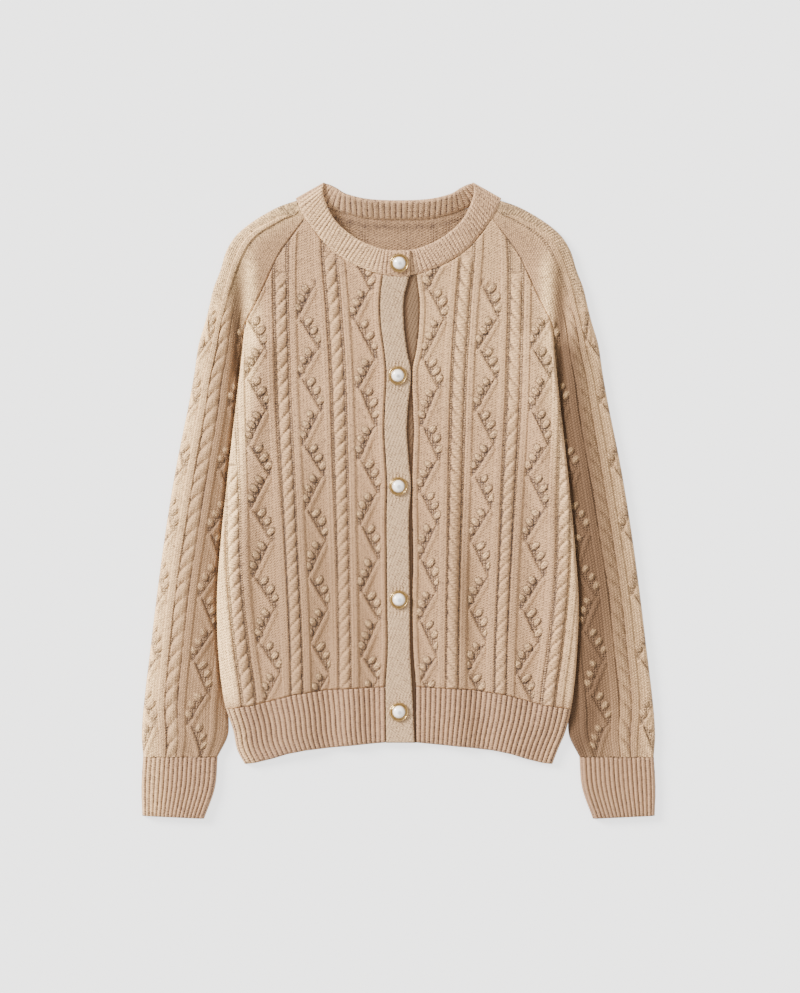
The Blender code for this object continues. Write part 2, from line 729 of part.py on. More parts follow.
def front_outline(side):
    """Plan outline of a front, as half widths, from the opening round to the hem."""
    seam = side + "_seam"
    rows = [row for row in OPENING if HEM_TOP[0].y < row.y < NECK_START_Y]
    opening = [Vector((abs(getattr(row, seam)), row.y)) for row in rows]
    neck_start = Vector((abs(read_straight(OPENING, seam, NECK_START_Y)), NECK_START_Y))
    neck = [Vector(point) for point in FRONT_NECK[2:]]
    raglan = smooth_line(RAGLAN, EDGE_SPACING)[1:]
    edge = side_line(side, ARMPIT_Y, HEM_TOP[-1].y, EDGE_SPACING)[1:]
    hem = [Vector(point) for point in reversed(HEM_TOP[1:-1])]
    corner = Vector((abs(read_straight(OPENING, seam, HEM_TOP[0].y)), HEM_TOP[0].y))
    return [corner] + opening + [neck_start] + neck + raglan + edge + hem


def build_front(side):
    """One front panel with its ropes, zigzag lines and bobbles."""
    sign = SIDES[side]
    outline = [Vector((sign * p.x, p.y)) for p in front_outline(side)]
    outline = inset_loop(counter_clockwise(outline), SEAM_GAP / 2)

    def inside(x, y):
        if y > ARMPIT_Y:
            return body_side(side, y)
        return body_side(side, y) - abs(x) - SEAM_GAP / 2

    def upper(x, y):
        return front_top(x, y) - edge_drop(inside(x, y))

    def lower(x, y):
        if inside(x, y) < WALL + EDGE_MARGIN:
            return side_lift(x, y) + LIP_UNDER
        return front_under(x, y)

    def beside_edge(depth):
        """A line of plain points at a depth inside the side edge."""
        edge = side_line(side, ARMPIT_Y, HEM_TOP[-1].y, EDGE_SPACING)
        return [(sign * (p.x - SEAM_GAP / 2 - depth), p.y, 0.0) for p in edge]

    rounding = [beside_edge(EDGE_STEP * (step + 1)) for step in range(EDGE_STEPS)]
    mesh = bmesh.new()
    tops = [upper(p.x, p.y) for p in outline]
    unders = [lower(p.x, p.y) for p in outline]
    limit = [[p for p in column if inside(p[0], p[1]) > EDGE_INSET + EDGE_CLEARANCE]
             for column in front_pattern(side)]
    top_rim = surface(mesh, outline, tops, rounding + limit, upper, False)
    lip = [beside_edge(WALL), beside_edge(WALL + SEAM_GAP), beside_edge(LAP_WIDTH)]
    plain = [[p] for column in grid_points(outline, HIDDEN_SPACING) for p in column
             if inside(p[0], p[1]) > 2 * EDGE_INSET]
    under_rim = surface(mesh, outline, unders, lip + plain, lower, True)
    join_rims(mesh, top_rim + top_rim[:1], under_rim + under_rim[:1])
    make_object("front_" + side, mesh, "knit")


def build_back():
    """The back panel, flat below, raised where it lies over the sleeves."""
    halves = []
    for side, sign in SIDES.items():
        neck = [BACK_RAGLAN_TOP] + list(BACK_NECK[2:])
        raglan = smooth_line([RAGLAN[-1], BACK_RAGLAN_TOP], BACK_RAGLAN_SPACING)
        edge = side_line(side, HEM_TOP[-1].y, ARMPIT_Y, EDGE_SPACING)
        hem = [Vector(point) for point in HEM_TOP[1:-1]]
        half = hem + edge + raglan[1:-1] + [Vector(point) for point in neck]
        halves.append([Vector((sign * p.x, p.y)) for p in half])
    outline = halves[0] + list(reversed(halves[1]))[1:]
    outline = inset_loop(counter_clockwise(outline), SEAM_GAP / 2)
    ramps = []
    for side, sign in SIDES.items():
        for depth in (LAP_WIDTH, LAP_WIDTH + LIFT_RAMP / 2, LAP_WIDTH + LIFT_RAMP):
            line = side_line(side, ARMPIT_Y - EDGE_INSET, HEM_TOP[-1].y, BACK_RAMP_SPACING)
            ramps.append([(sign * (p.x - depth), p.y, 0.0) for p in line])
    mesh = bmesh.new()
    tops = [back_top(p.x, p.y) for p in outline]
    unders = [back_under(p.x, p.y) for p in outline]
    top_rim = surface(mesh, outline, tops, ramps, back_top, False)
    under_rim = surface(mesh, outline, unders, ramps, back_under, True)
    join_rims(mesh, top_rim + top_rim[:1], under_rim + under_rim[:1])
    make_object("back_panel", mesh, "knit")


def edge_at(line, half):
    """Height of an outline table at a half width."""
    for low, high in zip(line, line[1:]):
        if low.half <= half <= high.half:
            share = (half - low.half) / (high.half - low.half)
            return low.y + share * (high.y - low.y)
    return line[0].y if half < line[0].half else line[-1].y


def hem_point(side, across, down):
    """Plan point of a front hem rib, as shares across it and down it."""
    seam = side + "_seam"
    top_in = abs(read_straight(OPENING, seam, HEM_TOP[0].y))
    bottom_in = abs(read_straight(OPENING, seam, HEM_BOTTOM[0].y))
    top_out = body_side(side, HEM_TOP[-1].y)
    bottom_out = body_side(side, HEM_BOTTOM[-1].y)
    top_half = top_in + across * (top_out - top_in)
    bottom_half = bottom_in + across * (bottom_out - bottom_in)
    top = Vector((top_half, edge_at(HEM_TOP, top_half)))
    bottom = Vector((bottom_half, edge_at(HEM_BOTTOM, bottom_half)))
    point = top.lerp(bottom, down)
    if across > SEAM_SHARE:
        point.x = body_side(side, point.y)
    return point


RibPoint = namedtuple("RibPoint", "share height")
RIB_SECTION = (RibPoint(0.0, 0.0), RibPoint(0.28, 1.0), RibPoint(0.72, 1.0))
FINE_RIB_SECTION = (RibPoint(0.0, 0.0), RibPoint(0.5, 1.0))
HEM_LEVELS = (0.0, 0.5, 1.0)


def build_front_hem(side):
    """The ribbed strip below one front."""
    sign = SIDES[side]
    shares = [(rib + point.share) / HEM_RIBS for rib in range(HEM_RIBS) for point in RIB_SECTION]
    reliefs = [point.height * RIB_HEIGHT for _ in range(HEM_RIBS) for point in RIB_SECTION]
    shares.append(1.0)
    reliefs.append(0.0)
    rows = [[hem_point(side, share, level) for share in shares] for level in HEM_LEVELS]
    mesh = bmesh.new()
    top, under = [], []
    gap = SEAM_GAP / 2
    for level, row in zip(HEM_LEVELS, rows):
        top_row, under_row = [], []
        last = len(row) - 1
        for index, point in enumerate(row):
            x, y = point.x, point.y
            if index == 0:
                x += gap
            if index == last:
                x -= gap
            if level == 0.0:
                y -= gap
            x *= sign
            room = body_side(side, y) - abs(x) - gap
            height = front_top(x, y) - edge_drop(room)
            relief = reliefs[index] if room > EDGE_INSET else 0.0
            top_row.append(mesh.verts.new((x, y, height + relief)))
            low = side_lift(x, y) + LIP_UNDER if room < WALL else front_under(x, y)
            under_row.append(mesh.verts.new((x, y, low)))
        top.append(top_row)
        under.append(under_row)
    stitch_sheet(mesh, top, under)
    make_object("hem_rib_" + side, mesh, "rib")


def stitch_sheet(mesh, top, under):
    """Close a wall between two grids of vertices that match one to one."""
    rows, columns = len(top), len(top[0])
    for r in range(rows - 1):
        for c in range(columns - 1):
            mesh.faces.new((top[r][c], top[r][c + 1], top[r + 1][c + 1], top[r + 1][c]))
            mesh.faces.new((under[r][c], under[r + 1][c], under[r + 1][c + 1], under[r][c + 1]))
    rim = [(0, c) for c in range(columns - 1)]
    rim += [(r, columns - 1) for r in range(rows - 1)]
    rim += [(rows - 1, c) for c in range(columns - 1, 0, -1)]
    rim += [(r, 0) for r in range(rows - 1, 0, -1)]
    for (r, c), (r2, c2) in zip(rim, rim[1:] + rim[:1]):
        mesh.faces.new((top[r][c], under[r][c], under[r2][c2], top[r2][c2]))


def build_back_hem():
    """The ribbed strip below the back, plain where it rests and where it is hidden."""
    halves = []
    for side, sign in SIDES.items():
        top = [Vector(point) for point in HEM_TOP[1:-1]]
        edge = side_line(side, HEM_TOP[-1].y, HEM_BOTTOM[-1].y, BACK_HEM_EDGE_SPACING)
        bottom = [Vector(point) for point in reversed(HEM_BOTTOM[:-1])]
        half = top + edge + bottom
        halves.append([Vector((sign * p.x, p.y)) for p in half])
    outline = halves[0] + list(reversed(halves[1]))
    outline = inset_loop(counter_clockwise(outline), SEAM_GAP / 2)
    plain = grid_points(outline, BACK_HEM_SPACING)
    mesh = bmesh.new()
    tops = [back_top(p.x, p.y) for p in outline]
    unders = [back_under(p.x, p.y) for p in outline]
    top_rim = surface(mesh, outline, tops, plain, back_top, False)
    under_rim = surface(mesh, outline, unders, plain, back_under, True)
    join_rims(mesh, top_rim + top_rim[:1], under_rim + under_rim[:1])
    make_object("hem_rib_back", mesh, "rib")


def build_bands():
    """The button band and, on top of it, the buttonhole band."""
    rows = list(OPENING)
    gap = SEAM_GAP / 2
    for name, rise in (("button_band", 0.0), ("buttonhole_band", BAND_STEP)):
        mesh = bmesh.new()
        top, under = [], []
        for row in rows:
            if rise:
                xs = (row.right_seam + gap, (row.right_seam + row.free_edge) / 2, row.free_edge)
            else:
                xs = (UNDERLAP_EDGE, (UNDERLAP_EDGE + row.left_seam) / 2, row.left_seam - gap)
            y = min(row.y, NECK_FRONT_SEAM_Y - SEAM_GAP)
            top_row, under_row = [], []
            for x in xs:
                level = FRONT_TOP + neck_lift(x, y) + rise
                top_row.append(mesh.verts.new((x, y, level)))
                under_row.append(mesh.verts.new((x, y, level - WALL)))
            top.append(top_row)
            under.append(under_row)
        stitch_sheet(mesh, top, under)
        make_object(name, mesh, "band")


def sleeve_top(x, y):
    """Plain upper surface of a sleeve."""
    beside_body = abs(x) - body_side(side_of(x), y)
    dip = 1.0 - smooth(beside_body / SLEEVE_DIP_WIDTH)
    below_armpit = smooth((SLEEVE_DIP_TOP - y) / SLEEVE_DIP_RAMP)
    return FRONT_TOP + neck_lift(x, y) - SLEEVE_DIP * dip * below_armpit


def sleeve_lines(side):
    """Fold line, neck end, front raglan, underarm line and cuff end of a sleeve."""
    sign = SIDES[side]
    fold = [Vector((sign * row.fold_x, row.fold_y)) for row in SLEEVE]
    inner = [Vector((sign * row.inner_x, row.inner_y)) for row in SLEEVE]
    raglan = [Vector((sign * p.x, p.y)) for p in smooth_line(RAGLAN, EDGE_SPACING)]
    return fold, raglan, inner[SLEEVE_ARMPIT_ROW + 1:]


def build_sleeve(side):
    """One sleeve: a flattened tube, open at the cuff and along the armhole."""
    sign = SIDES[side]
    fold, raglan, underarm = sleeve_lines(side)
    shoulder = [Vector((sign * p.half, p.y)) for p in SHOULDER_END[1:-1]]
    back_neck = [Vector((sign * BACK_NECK[1].half, BACK_NECK[1].y))]
    back_raglan = smooth_line([BACK_RAGLAN_TOP, RAGLAN[-1]], BACK_RAGLAN_SPACING)
    back_raglan = [Vector((sign * p.x, p.y)) for p in back_raglan]
    upper_inner = list(reversed(shoulder)) + raglan + underarm
    lower_inner = back_neck + back_raglan + underarm
    gap = SEAM_GAP / 2

    def shifted(line, amount):
        """The closed outline of fold and inner line, moved inwards along the inner line."""
        loop = fold + list(reversed(line))
        forward = counter_clockwise(loop)
        moved = inset_loop(forward, amount)
        if forward is not loop:
            moved = list(reversed(moved))
        return moved

    def wall_inside(point, line):
        """Distance in plan from a point to a line of points."""
        return min(distance_to_edge(point, a, b) for a, b in zip(line, line[1:]))

    count = len(fold)
    top_loop = shifted(upper_inner, gap)
    low_loop = shifted(lower_inner, gap)
    low_loop[:count] = top_loop[:count]
    cavity_fold = shifted(upper_inner, WALL)[:count]
    cavity_fold[0] = top_loop[0].lerp(top_loop[-1], WALL / (top_loop[0] - top_loop[-1]).length)
    cavity_fold[-1] = top_loop[count - 1] + Vector((-sign * WALL, 0.0))
    outer_line = top_loop[:count]
    under_line = underarm[1:]

    def upper(x, y):
        point = Vector((x, y))
        drop = edge_drop(wall_inside(point, outer_line))
        if y < SLEEVE_DIP_TOP:
            drop = max(drop, edge_drop(wall_inside(point, under_line)))
        return sleeve_top(x, y) - drop

    def ceiling(x, y):
        return sleeve_top(x, y) - WALL

    mesh = bmesh.new()
    columns = []
    for column in sleeve_pattern():
        kept = []
        for half, y, relief in column:
            point = Vector((sign * half, y))
            beside = half - body_side(side, y)
            if y < ARMPIT_Y and beside < 3 * LAP_CLEARANCE:
                continue
            if wall_inside(point, outer_line) < EDGE_INSET:
                continue
            kept.append((point.x, point.y, relief))
        columns.append(kept)
    rounding = []
    for depth in (EDGE_STEP, 2 * EDGE_STEP, EDGE_INSET):
        line = shifted(upper_inner, gap + depth)[:count]
        rounding.append([(p.x, p.y, 0.0) for p in line])
    plain = []
    for beside in (LAP_CLEARANCE, -LAP_CLEARANCE):
        line = side_line(side, ARMPIT_Y - EDGE_INSET, SLEEVE[-2].inner_y, EDGE_SPACING)
        plain.append([(sign * (p.x + beside), p.y, 0.0) for p in line])
    tops = [upper(p.x, p.y) for p in top_loop]
    rim_top = surface(mesh, top_loop, tops, rounding + columns + plain, upper, sign < 0)
    rim_low = surface(mesh, low_loop, [0.0] * len(low_loop), [], lambda x, y: 0.0, sign > 0)
    ceiling_loop = cavity_fold + top_loop[count:]
    floor_loop = cavity_fold + low_loop[count:]
    ceilings = [ceiling(p.x, p.y) for p in ceiling_loop]
    hidden = grid_points(ceiling_loop, HIDDEN_SPACING)
    rim_ceiling = surface(mesh, ceiling_loop, ceilings, hidden, ceiling, sign > 0)
    rim_floor = surface(mesh, floor_loop, [WALL] * len(floor_loop), [],
                        lambda x, y: WALL, sign < 0)
    join_rims(mesh, rim_top[:count], rim_low[:count])
    join_rims(mesh, rim_ceiling[:count], rim_floor[:count])
    join_rims(mesh, rim_top[count - 1:] + rim_top[:1], rim_ceiling[count - 1:] + rim_ceiling[:1])
    join_rims(mesh, rim_low[count - 1:] + rim_low[:1], rim_floor[count - 1:] + rim_floor[:1])
    for end in (0, count - 1):
        mesh.faces.new((rim_top[end], rim_low[end], rim_floor[end], rim_ceiling[end]))
    make_object("sleeve_" + side, mesh, "knit")


def build_cuff(side):
    """A ribbed cuff: a short flattened tube, open at both ends."""
    sign = SIDES[side]
    mesh = bmesh.new()
    shares = [(rib + point.share) / CUFF_RIBS for rib in range(CUFF_RIBS) for point in RIB_SECTION]
    reliefs = [point.height * RIB_HEIGHT for _ in range(CUFF_RIBS) for point in RIB_SECTION]
    shares.append(1.0)
    reliefs.append(0.0)
    outer_rings, inner_rings = [], []
    for row in CUFF:
        width = row.outer - row.inner
        slope = (row.inner_y - row.outer_y) / width
        outer, inner = [], []
        for share, relief in zip(shares, reliefs):
            inset = width * share
            level = FRONT_TOP - edge_drop(min(inset, width - inset))
            raised = relief if EDGE_STEP < inset < width - EDGE_STEP else 0.0
            outer.append((row.outer - inset, row.outer_y + slope * inset, level + raised))
        outer.append((row.inner, row.inner_y, EDGE_DROP))
        for share in CUFF_UNDER_SHARES:
            inset = width * share
            outer.append((row.outer - inset, row.outer_y + slope * inset, 0.0))
        outer.append((row.outer, row.outer_y, EDGE_DROP))
        for corner in CUFF_HOLLOW:
            inset = WALL + (width - 2 * WALL) * corner.share
            inner.append((row.outer - inset, row.outer_y + slope * inset,
                          WALL + LAYER_GAP * corner.level))
        outer_rings.append([mesh.verts.new((sign * x, y, z)) for x, y, z in outer])
        inner_rings.append([mesh.verts.new((sign * x, y, z)) for x, y, z in inner])
    for rings in (outer_rings, inner_rings):
        for low, high in zip(rings, rings[1:]):
            for index in range(len(low)):
                after = (index + 1) % len(low)
                mesh.faces.new((low[index], low[after], high[after], high[index]))
    for end in (0, -1):
        close_end(mesh, outer_rings[end], inner_rings[end])
    make_object("cuff_" + side, mesh, "rib")


def close_end(mesh, *rings):
    """Close the end of a tube between its outer ring and its inner ring."""
    edges = [mesh.edges.get((ring[index - 1], ring[index])) for ring in rings
             for index in range(len(ring))]
    bmesh.ops.triangle_fill(mesh, use_beauty=True, use_dissolve=False, edges=edges)


def neckband_sections():
    """All sections of the neckband, from its upper end at the right to its lower end."""
    sections = []
    def front_row(x):
        """The section across the front, at a distance past the centre line."""
        return BandRow(x, NECK_FRONT_SEAM_Y, NECK_FRONT_SEAM_Z,
                       x, NECK_FRONT_FREE_Y, NECK_FRONT_FREE_Z, 1)

    right = [front_row(-OVERLAP_END), front_row(0.0)] + list(NECKBAND)
    left = list(reversed(NECKBAND[:-1])) + [front_row(UNDER_END)]
    for row in right:
        past = (row.seam_x - OVERLAP_RAMP_START) / OVERLAP_RAMP
        rise = BAND_STEP * (1.0 - smooth(past)) if row.face > 0 else 0.0
        sections.append((Vector((-row.seam_x, row.seam_y, row.seam_z + rise)),
                         Vector((-row.free_x, row.free_y, row.free_z + rise)), row.face))
    for row in left:
        sections.append((Vector((row.seam_x, row.seam_y, row.seam_z)),
                         Vector((row.free_x, row.free_y, row.free_z)), row.face))
    return sections


def build_neckband():
    """The ribbed neckband, its right end lapped over its left end."""
    sections = neckband_sections()
    lengths = [0.0]
    for low, high in zip(sections, sections[1:]):
        lengths.append(lengths[-1] + ((high[0] + high[1]) / 2 - (low[0] + low[1]) / 2).length)
    ribs = 2 * BAND_RIBS_PER_SIDE
    marks = [(rib + point.share) / ribs * lengths[-1] for rib in range(ribs)
             for point in FINE_RIB_SECTION] + [lengths[-1]]
    heights = [point.height * BAND_RIB_HEIGHT for _ in range(ribs)
               for point in FINE_RIB_SECTION] + [0.0]
    rows = []
    for mark, height in zip(marks, heights):
        index = next(i for i in range(len(lengths) - 1) if mark <= lengths[i + 1] + LENGTH_TOLERANCE)
        share = (mark - lengths[index]) / (lengths[index + 1] - lengths[index])
        low, high = sections[index], sections[index + 1]
        face = low[2] + share * (high[2] - low[2])
        rows.append((low[0].lerp(high[0], share), low[1].lerp(high[1], share), face, height))
    mesh = bmesh.new()
    outer, inner = [], []
    for index, (seam, free, face, height) in enumerate(rows):
        before = rows[max(index - 1, 0)]
        after = rows[min(index + 1, len(rows) - 1)]
        outer_row, inner_row = [], []
        for share in (0.0, 1.0):
            along = after[0].lerp(after[1], share) - before[0].lerp(before[1], share)
            normal = (free - seam).cross(along).normalized()
            if index < OVERLAP_FLAT_MARKS:
                normal = Vector((0.0, 0.0, 1.0))
            point = seam.lerp(free, share)
            if share == 0.0:
                point = point + (free - seam).normalized() * SEAM_GAP
                level = Vector((free.x - seam.x, free.y - seam.y, 0.0)).normalized()
                normal = (normal - level * normal.dot(level)).normalized()
            raised = height * max(face, 0.0)
            lowered = height * max(-face, 0.0)
            outer_row.append(mesh.verts.new(point + normal * (WALL / 2 + raised)))
            inner_row.append(mesh.verts.new(point - normal * (WALL / 2 + lowered)))
        outer.append(outer_row)
        inner.append(inner_row)
    stitch_sheet(mesh, outer, inner)
    make_object("neckband", mesh, "rib")


def turned(profile, centre):
    """A mesh turned from a profile round a vertical line through a centre."""
    mesh = bmesh.new()
    closed = profile[0].radius > 0.0
    vertices = [mesh.verts.new((point.radius, 0.0, point.height)) for point in profile]
    edges = [mesh.edges.new(pair) for pair in zip(vertices, vertices[1:])]
    if closed:
        edges.append(mesh.edges.new((vertices[-1], vertices[0])))
    bmesh.ops.spin(mesh, geom=vertices + edges, cent=(0, 0, 0), axis=(0, 0, 1),
                   angle=2 * math.pi, steps=BUTTON_SEGMENTS, use_merge=True)
    bmesh.ops.remove_doubles(mesh, verts=mesh.verts, dist=MERGE_DISTANCE)
    bmesh.ops.translate(mesh, vec=centre, verts=mesh.verts)
    return mesh


def build_buttons():
    """Five buttons, each a rim with a pearl dome, seated on what they close."""
    for number, button in enumerate(BUTTONS, 1):
        if number == 1:
            upper_rim = button.y + RIM_PROFILE[2].radius
            share = (upper_rim - NECK_FRONT_SEAM_Y) / (NECK_FRONT_FREE_Y - NECK_FRONT_SEAM_Y)
            middle = NECK_FRONT_SEAM_Z + share * (NECK_FRONT_FREE_Z - NECK_FRONT_SEAM_Z)
            seat = middle + BAND_STEP + WALL / 2 + BAND_RIB_HEIGHT
        else:
            seat = FRONT_TOP + neck_lift(button.x, button.y) + BAND_STEP
        centre = Vector((button.x, button.y, seat + SEAM_GAP))
        make_object(f"button_rim_{number}", turned(RIM_PROFILE, centre), "rim")
        make_object(f"button_pearl_{number}", turned(PEARL_PROFILE, centre), "pearl")


def main():
    """Build every piece of the cardigan."""
    for old in list(bpy.data.objects):
        bpy.data.objects.remove(old)
    build_back()
    build_back_hem()
    for side in SIDES:
        build_front(side)
        build_front_hem(side)
        build_sleeve(side)
        build_cuff(side)
    build_bands()
    build_neckband()
    build_buttons()


main()
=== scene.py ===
"""Looks for a fine-knit button cardigan that lies flat with its front up."""

import logging
import math
from dataclasses import dataclass
from enum import Enum
from typing import NamedTuple, Sequence

import bmesh
import bpy
import numpy as np
from mathutils import Matrix, Vector


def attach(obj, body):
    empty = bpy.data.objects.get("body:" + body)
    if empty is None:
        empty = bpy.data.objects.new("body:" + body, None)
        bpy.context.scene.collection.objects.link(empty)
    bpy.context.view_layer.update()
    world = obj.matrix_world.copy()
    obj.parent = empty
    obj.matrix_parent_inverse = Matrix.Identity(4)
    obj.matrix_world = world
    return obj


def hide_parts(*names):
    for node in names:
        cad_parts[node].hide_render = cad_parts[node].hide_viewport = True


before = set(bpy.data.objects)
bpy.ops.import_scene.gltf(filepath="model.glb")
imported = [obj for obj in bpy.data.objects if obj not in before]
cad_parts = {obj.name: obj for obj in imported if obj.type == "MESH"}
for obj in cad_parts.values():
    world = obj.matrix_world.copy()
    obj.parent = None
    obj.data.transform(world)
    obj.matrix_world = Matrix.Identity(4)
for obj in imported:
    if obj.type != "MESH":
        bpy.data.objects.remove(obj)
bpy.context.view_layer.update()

LOG = logging.getLogger("cardigan")
# Shapes are in millimetres, which MM takes to metres; the studio is in metres
MM = 0.001
# The cloth's wall, half of a seam's gap, and how far soft edges roll above and below
WALL = 2.4
GAP = 0.15
ROLL = 2.8
FLOOR_ROLL = 1.3
# Heights of the front layer's top, of its side edges' undersides and of the upper band's step
TOP = 6.8
LIP = 2.7
BAND_STEP = 2.7
# Plan of the armpit, of the neck end of a front's seam and of both ends of the bands
ARMPIT_X = 169.5
ARMPIT_Y = 192.5
SEAM_TOP_X = 18.5
SEAM_TOP_Y = 248.6
BAND_TOP_Y = 246.7
BAND_LOW_Y = -266
# Depth of the hem rib at the side, and height on the plan of its corner by the opening
HEM_SIDE_DEPTH = 60.6
HEM_CORNER_Y = -265.1
# How far the back's hem seam lies below the fronts', and the reach of a front's neck corner
BACK_SEAM_DROP = 1.2
NECK_CORNER_X = 99.5
NECK_CORNER_RISE = 1.3
# Distance that the knitting counts for one rib, and the length of a cuff
RIB_WALE = 5.2
CUFF_LENGTH = 66
# Seat of the button on the neckband, and the distance over which the pearl's painted reflections are
# laid out
NECK_BUTTON_SEAT = 12.96
PEARL_REACH = 7.0

Array = np.ndarray


def smooth(share: Array) -> Array:
    """A soft step from 0 to 1 as the share goes from 0 to 1."""
    share = np.clip(share, 0.0, 1.0)
    return share * share * (3.0 - 2.0 * share)


def hump(distance: Array, half: float) -> Array:
    """A soft hump, 1 at no distance."""
    return np.exp(-((distance / half) ** 2))


def near(distance: Array, reach: float) -> Array:
    """1 at no distance, falling softly to 0 at the reach."""
    return 1.0 - smooth(distance / reach)


def between(low: Array | float, high: Array | float, share: Array) -> Array:
    """The value at a share of the way from one value to another."""
    return low + (high - low) * share


def rolled(distance: Array) -> Array:
    """How far a soft edge has rolled down, 1 at the edge and 0 from 4 mm inside it."""
    return (1 - np.clip(distance / 4, 0, 1)) ** 3


def shelf(value: Array, low: float, high: float, edge: float) -> Array:
    """1 between two values, with soft edges inside them."""
    return smooth((value - low) / edge) * smooth((high - value) / edge)


def ribbing(count: Array) -> Array:
    """Height of round ribs, from 0 between them to 1 on top, one rib for each count."""
    return np.abs(np.sin(math.pi * count))


def rib_hollows(rib: Array, depth: float, width: float, crown: float) -> Array:
    """Painted shade between ribs, to a depth and a width, and a little on their crowns."""
    return depth * near(rib, width) + crown * smooth((rib - 0.93) / 0.07)


def jitter(*keys: Array) -> Array:
    """Uneven numbers from -1 to 1 that depend on the keys alone."""
    mixed = sum(key * weight for key, weight in zip(keys, (12.9898, 78.233, 37.719)))
    return 2.0 * np.mod(np.sin(mixed) * 43758.5453, 1.0) - 1.0


class Curve:
    """A smooth curve through rows of numbers, level past its ends."""

    def __init__(self, places: Sequence[float], values: Sequence[float]) -> None:
        """Keeps the rows and works out the slope at each.

        Args:
            places: Where each row stands, in rising order.
            values: The number in each row.
        """
        self.places = np.array(places, float)
        self.values = np.array(values, float)
        run = self.places[1:] - self.places[:-1]
        rise = self.values[1:] - self.values[:-1]
        inner = (self.values[2:] - self.values[:-2]) / (self.places[2:] - self.places[:-2])
        self.slopes = np.concatenate(([rise[0] / run[0]], inner, [rise[-1] / run[-1]]))

    def __call__(self, at: Array) -> Array:
        """Reads the curve.

        Args:
            at: Where it is read.

        Returns:
            Its values there.
        """
        low = np.clip(np.searchsorted(self.places, at) - 1, 0, len(self.places) - 2)
        span = self.places[low + 1] - self.places[low]
        t = np.clip((at - self.places[low]) / span, 0.0, 1.0)
        start, end = self.values[low], self.values[low + 1]
        return (
            (2 * t**3 - 3 * t**2 + 1) * start
            + (t**3 - 2 * t**2 + t) * span * self.slopes[low]
            + (3 * t**2 - 2 * t**3) * end
            + (t**3 - t**2) * span * self.slopes[low + 1]
        )


def curves(rows: Sequence[Sequence[float]]) -> list[Curve]:
    """Curves of every column of a table over its first column."""
    columns = list(zip(*rows))
    return [Curve(columns[0], column) for column in columns[1:]]


def line(points: Sequence[tuple[float, float]], at: Array) -> Array:
    """Heights of a line of straight pieces, read by its first column."""
    xs, ys = zip(*points)
    return np.interp(at, xs, ys)


# Half widths of the body and of its ropes at each height
RIGHT_SIDE, LEFT_SIDE, ROPE_1, ROPE_2, ROPE_3 = curves((
    (-292, 168, 168.6, 58.9, 111.7, 160), (-273.9, 177.7, 175.5, 58.9, 111.7, 162),
    (-251.9, 182, 184.3, 58.9, 111.7, 163), (-218.9, 192, 191.5, 58.9, 111.7, 164.5),
    (-163.9, 198.4, 196.6, 59.3, 112.8, 172.2), (-108.9, 199.7, 198.2, 60.1, 115, 178.2),
    (-64.9, 197.4, 195.4, 61, 117.2, 181), (1.1, 190.9, 189.6, 62.7, 120.5, 182),
    (111.1, 178.4, 177.4, 65.6, 126.4, 185.6), (163, 172.2, 171.8, 67.8, 127.8, 185.5),
    (192.5, 169.5, 169.8, 69.8, 128.7, 185.4),
    (221.1, 166, 166, 71.7, 129.3, 186.5), (268.4, 160, 160, 75.8, 129.3, 186.5),
    (311, 150, 150, 77.6, 126.2, 175),
))
# Right seam, free edge and left seam of the opening at each height
RIGHT_SEAM, FREE_EDGE, LEFT_SEAM = curves((
    (-266, -14.2, 17.7, 19.3), (-206, -14.8, 15, 19.1), (-163.9, -12.3, 12.8, 16),
    (-108.9, -12.9, 12.4, 14.9), (-64.9, -13.2, 12, 16), (-15.4, -13.6, 11.6, 15),
    (16.5, -12.9, 13.7, 14.6), (45.1, -14.3, 11.3, 15.6), (75.9, -16, 9.2, 16.8),
    (100.1, -15.4, 10.1, 16), (140.8, -13.8, 13.7, 14.6), (166.1, -16, 9.3, 19.6),
    (193.6, -19.7, 6, 22.5), (221.1, -20.6, 5.7, 23.1), (247, -17.7, 11.6, 19.8),
))
# Half widths and heights of the edges of the fronts, the back and the hems
FRONT_NECK = ((0, 246.4), (19.2, 249), (41.3, 256.5), (60.6, 266.2), (78, 279.4),
              (92.9, 297), (102.9, 310.9))
RAGLAN = ((102.9, 310.9), (121.6, 286), (133.7, 268.4), (143.6, 246.4), (154, 225),
          (164.5, 205), (169.6, 192.5))
BACK_NECK = ((0, 309.8), (32.9, 310.9), (57.8, 316.3), (80.9, 324), (86, 325.2))
HEM_TOP = ((14.9, -204.6), (77.6, -207.9), (114.3, -213.4), (138, -219.7),
           (155.7, -224.4), (187, -229))
HEM_BOTTOM = ((9.4, -265.1), (75.9, -271.7), (102.4, -274.7), (122.1, -278.6),
              (138, -283.6), (157.4, -288.4), (168.6, -289.6))
SEAM_LOW_Y, SIDE_LOW_Y = HEM_TOP[0][1], HEM_TOP[-1][1]
HEM_START, HEM_TOP_END, HEM_BOTTOM_END = HEM_TOP[0][0], HEM_TOP[-1][0], HEM_BOTTOM[-1][0]
BACK_HEM_TOP = ((0, -203.9),) + HEM_TOP
BACK_HEM_BOTTOM = ((0, -264.5),) + HEM_BOTTOM
# Heights at which the zigzag lines turn, in the zone by the opening and in the others
TURNS_FIRST = (-232.1, -198.6, -172.7, -132.6, -101.5, -65.5, -27.8, 8, 44, 81.4, 123,
               154.6, 198.2, 231, 262.9, 297)
TURNS_OTHER = (-225.5, -191.4, -157.3, -119.9, -84.7, -45.7, -9.9, 27, 60.5, 97.9,
               134.2, 166.1, 200.4, 236.5, 271.7, 304.7)
# Tops of the three ropes, and the height below which two of the left front's lean the other way
ROPE_TOPS = (274, 252, 40)
LEAN_CHANGE_Y = 100.0
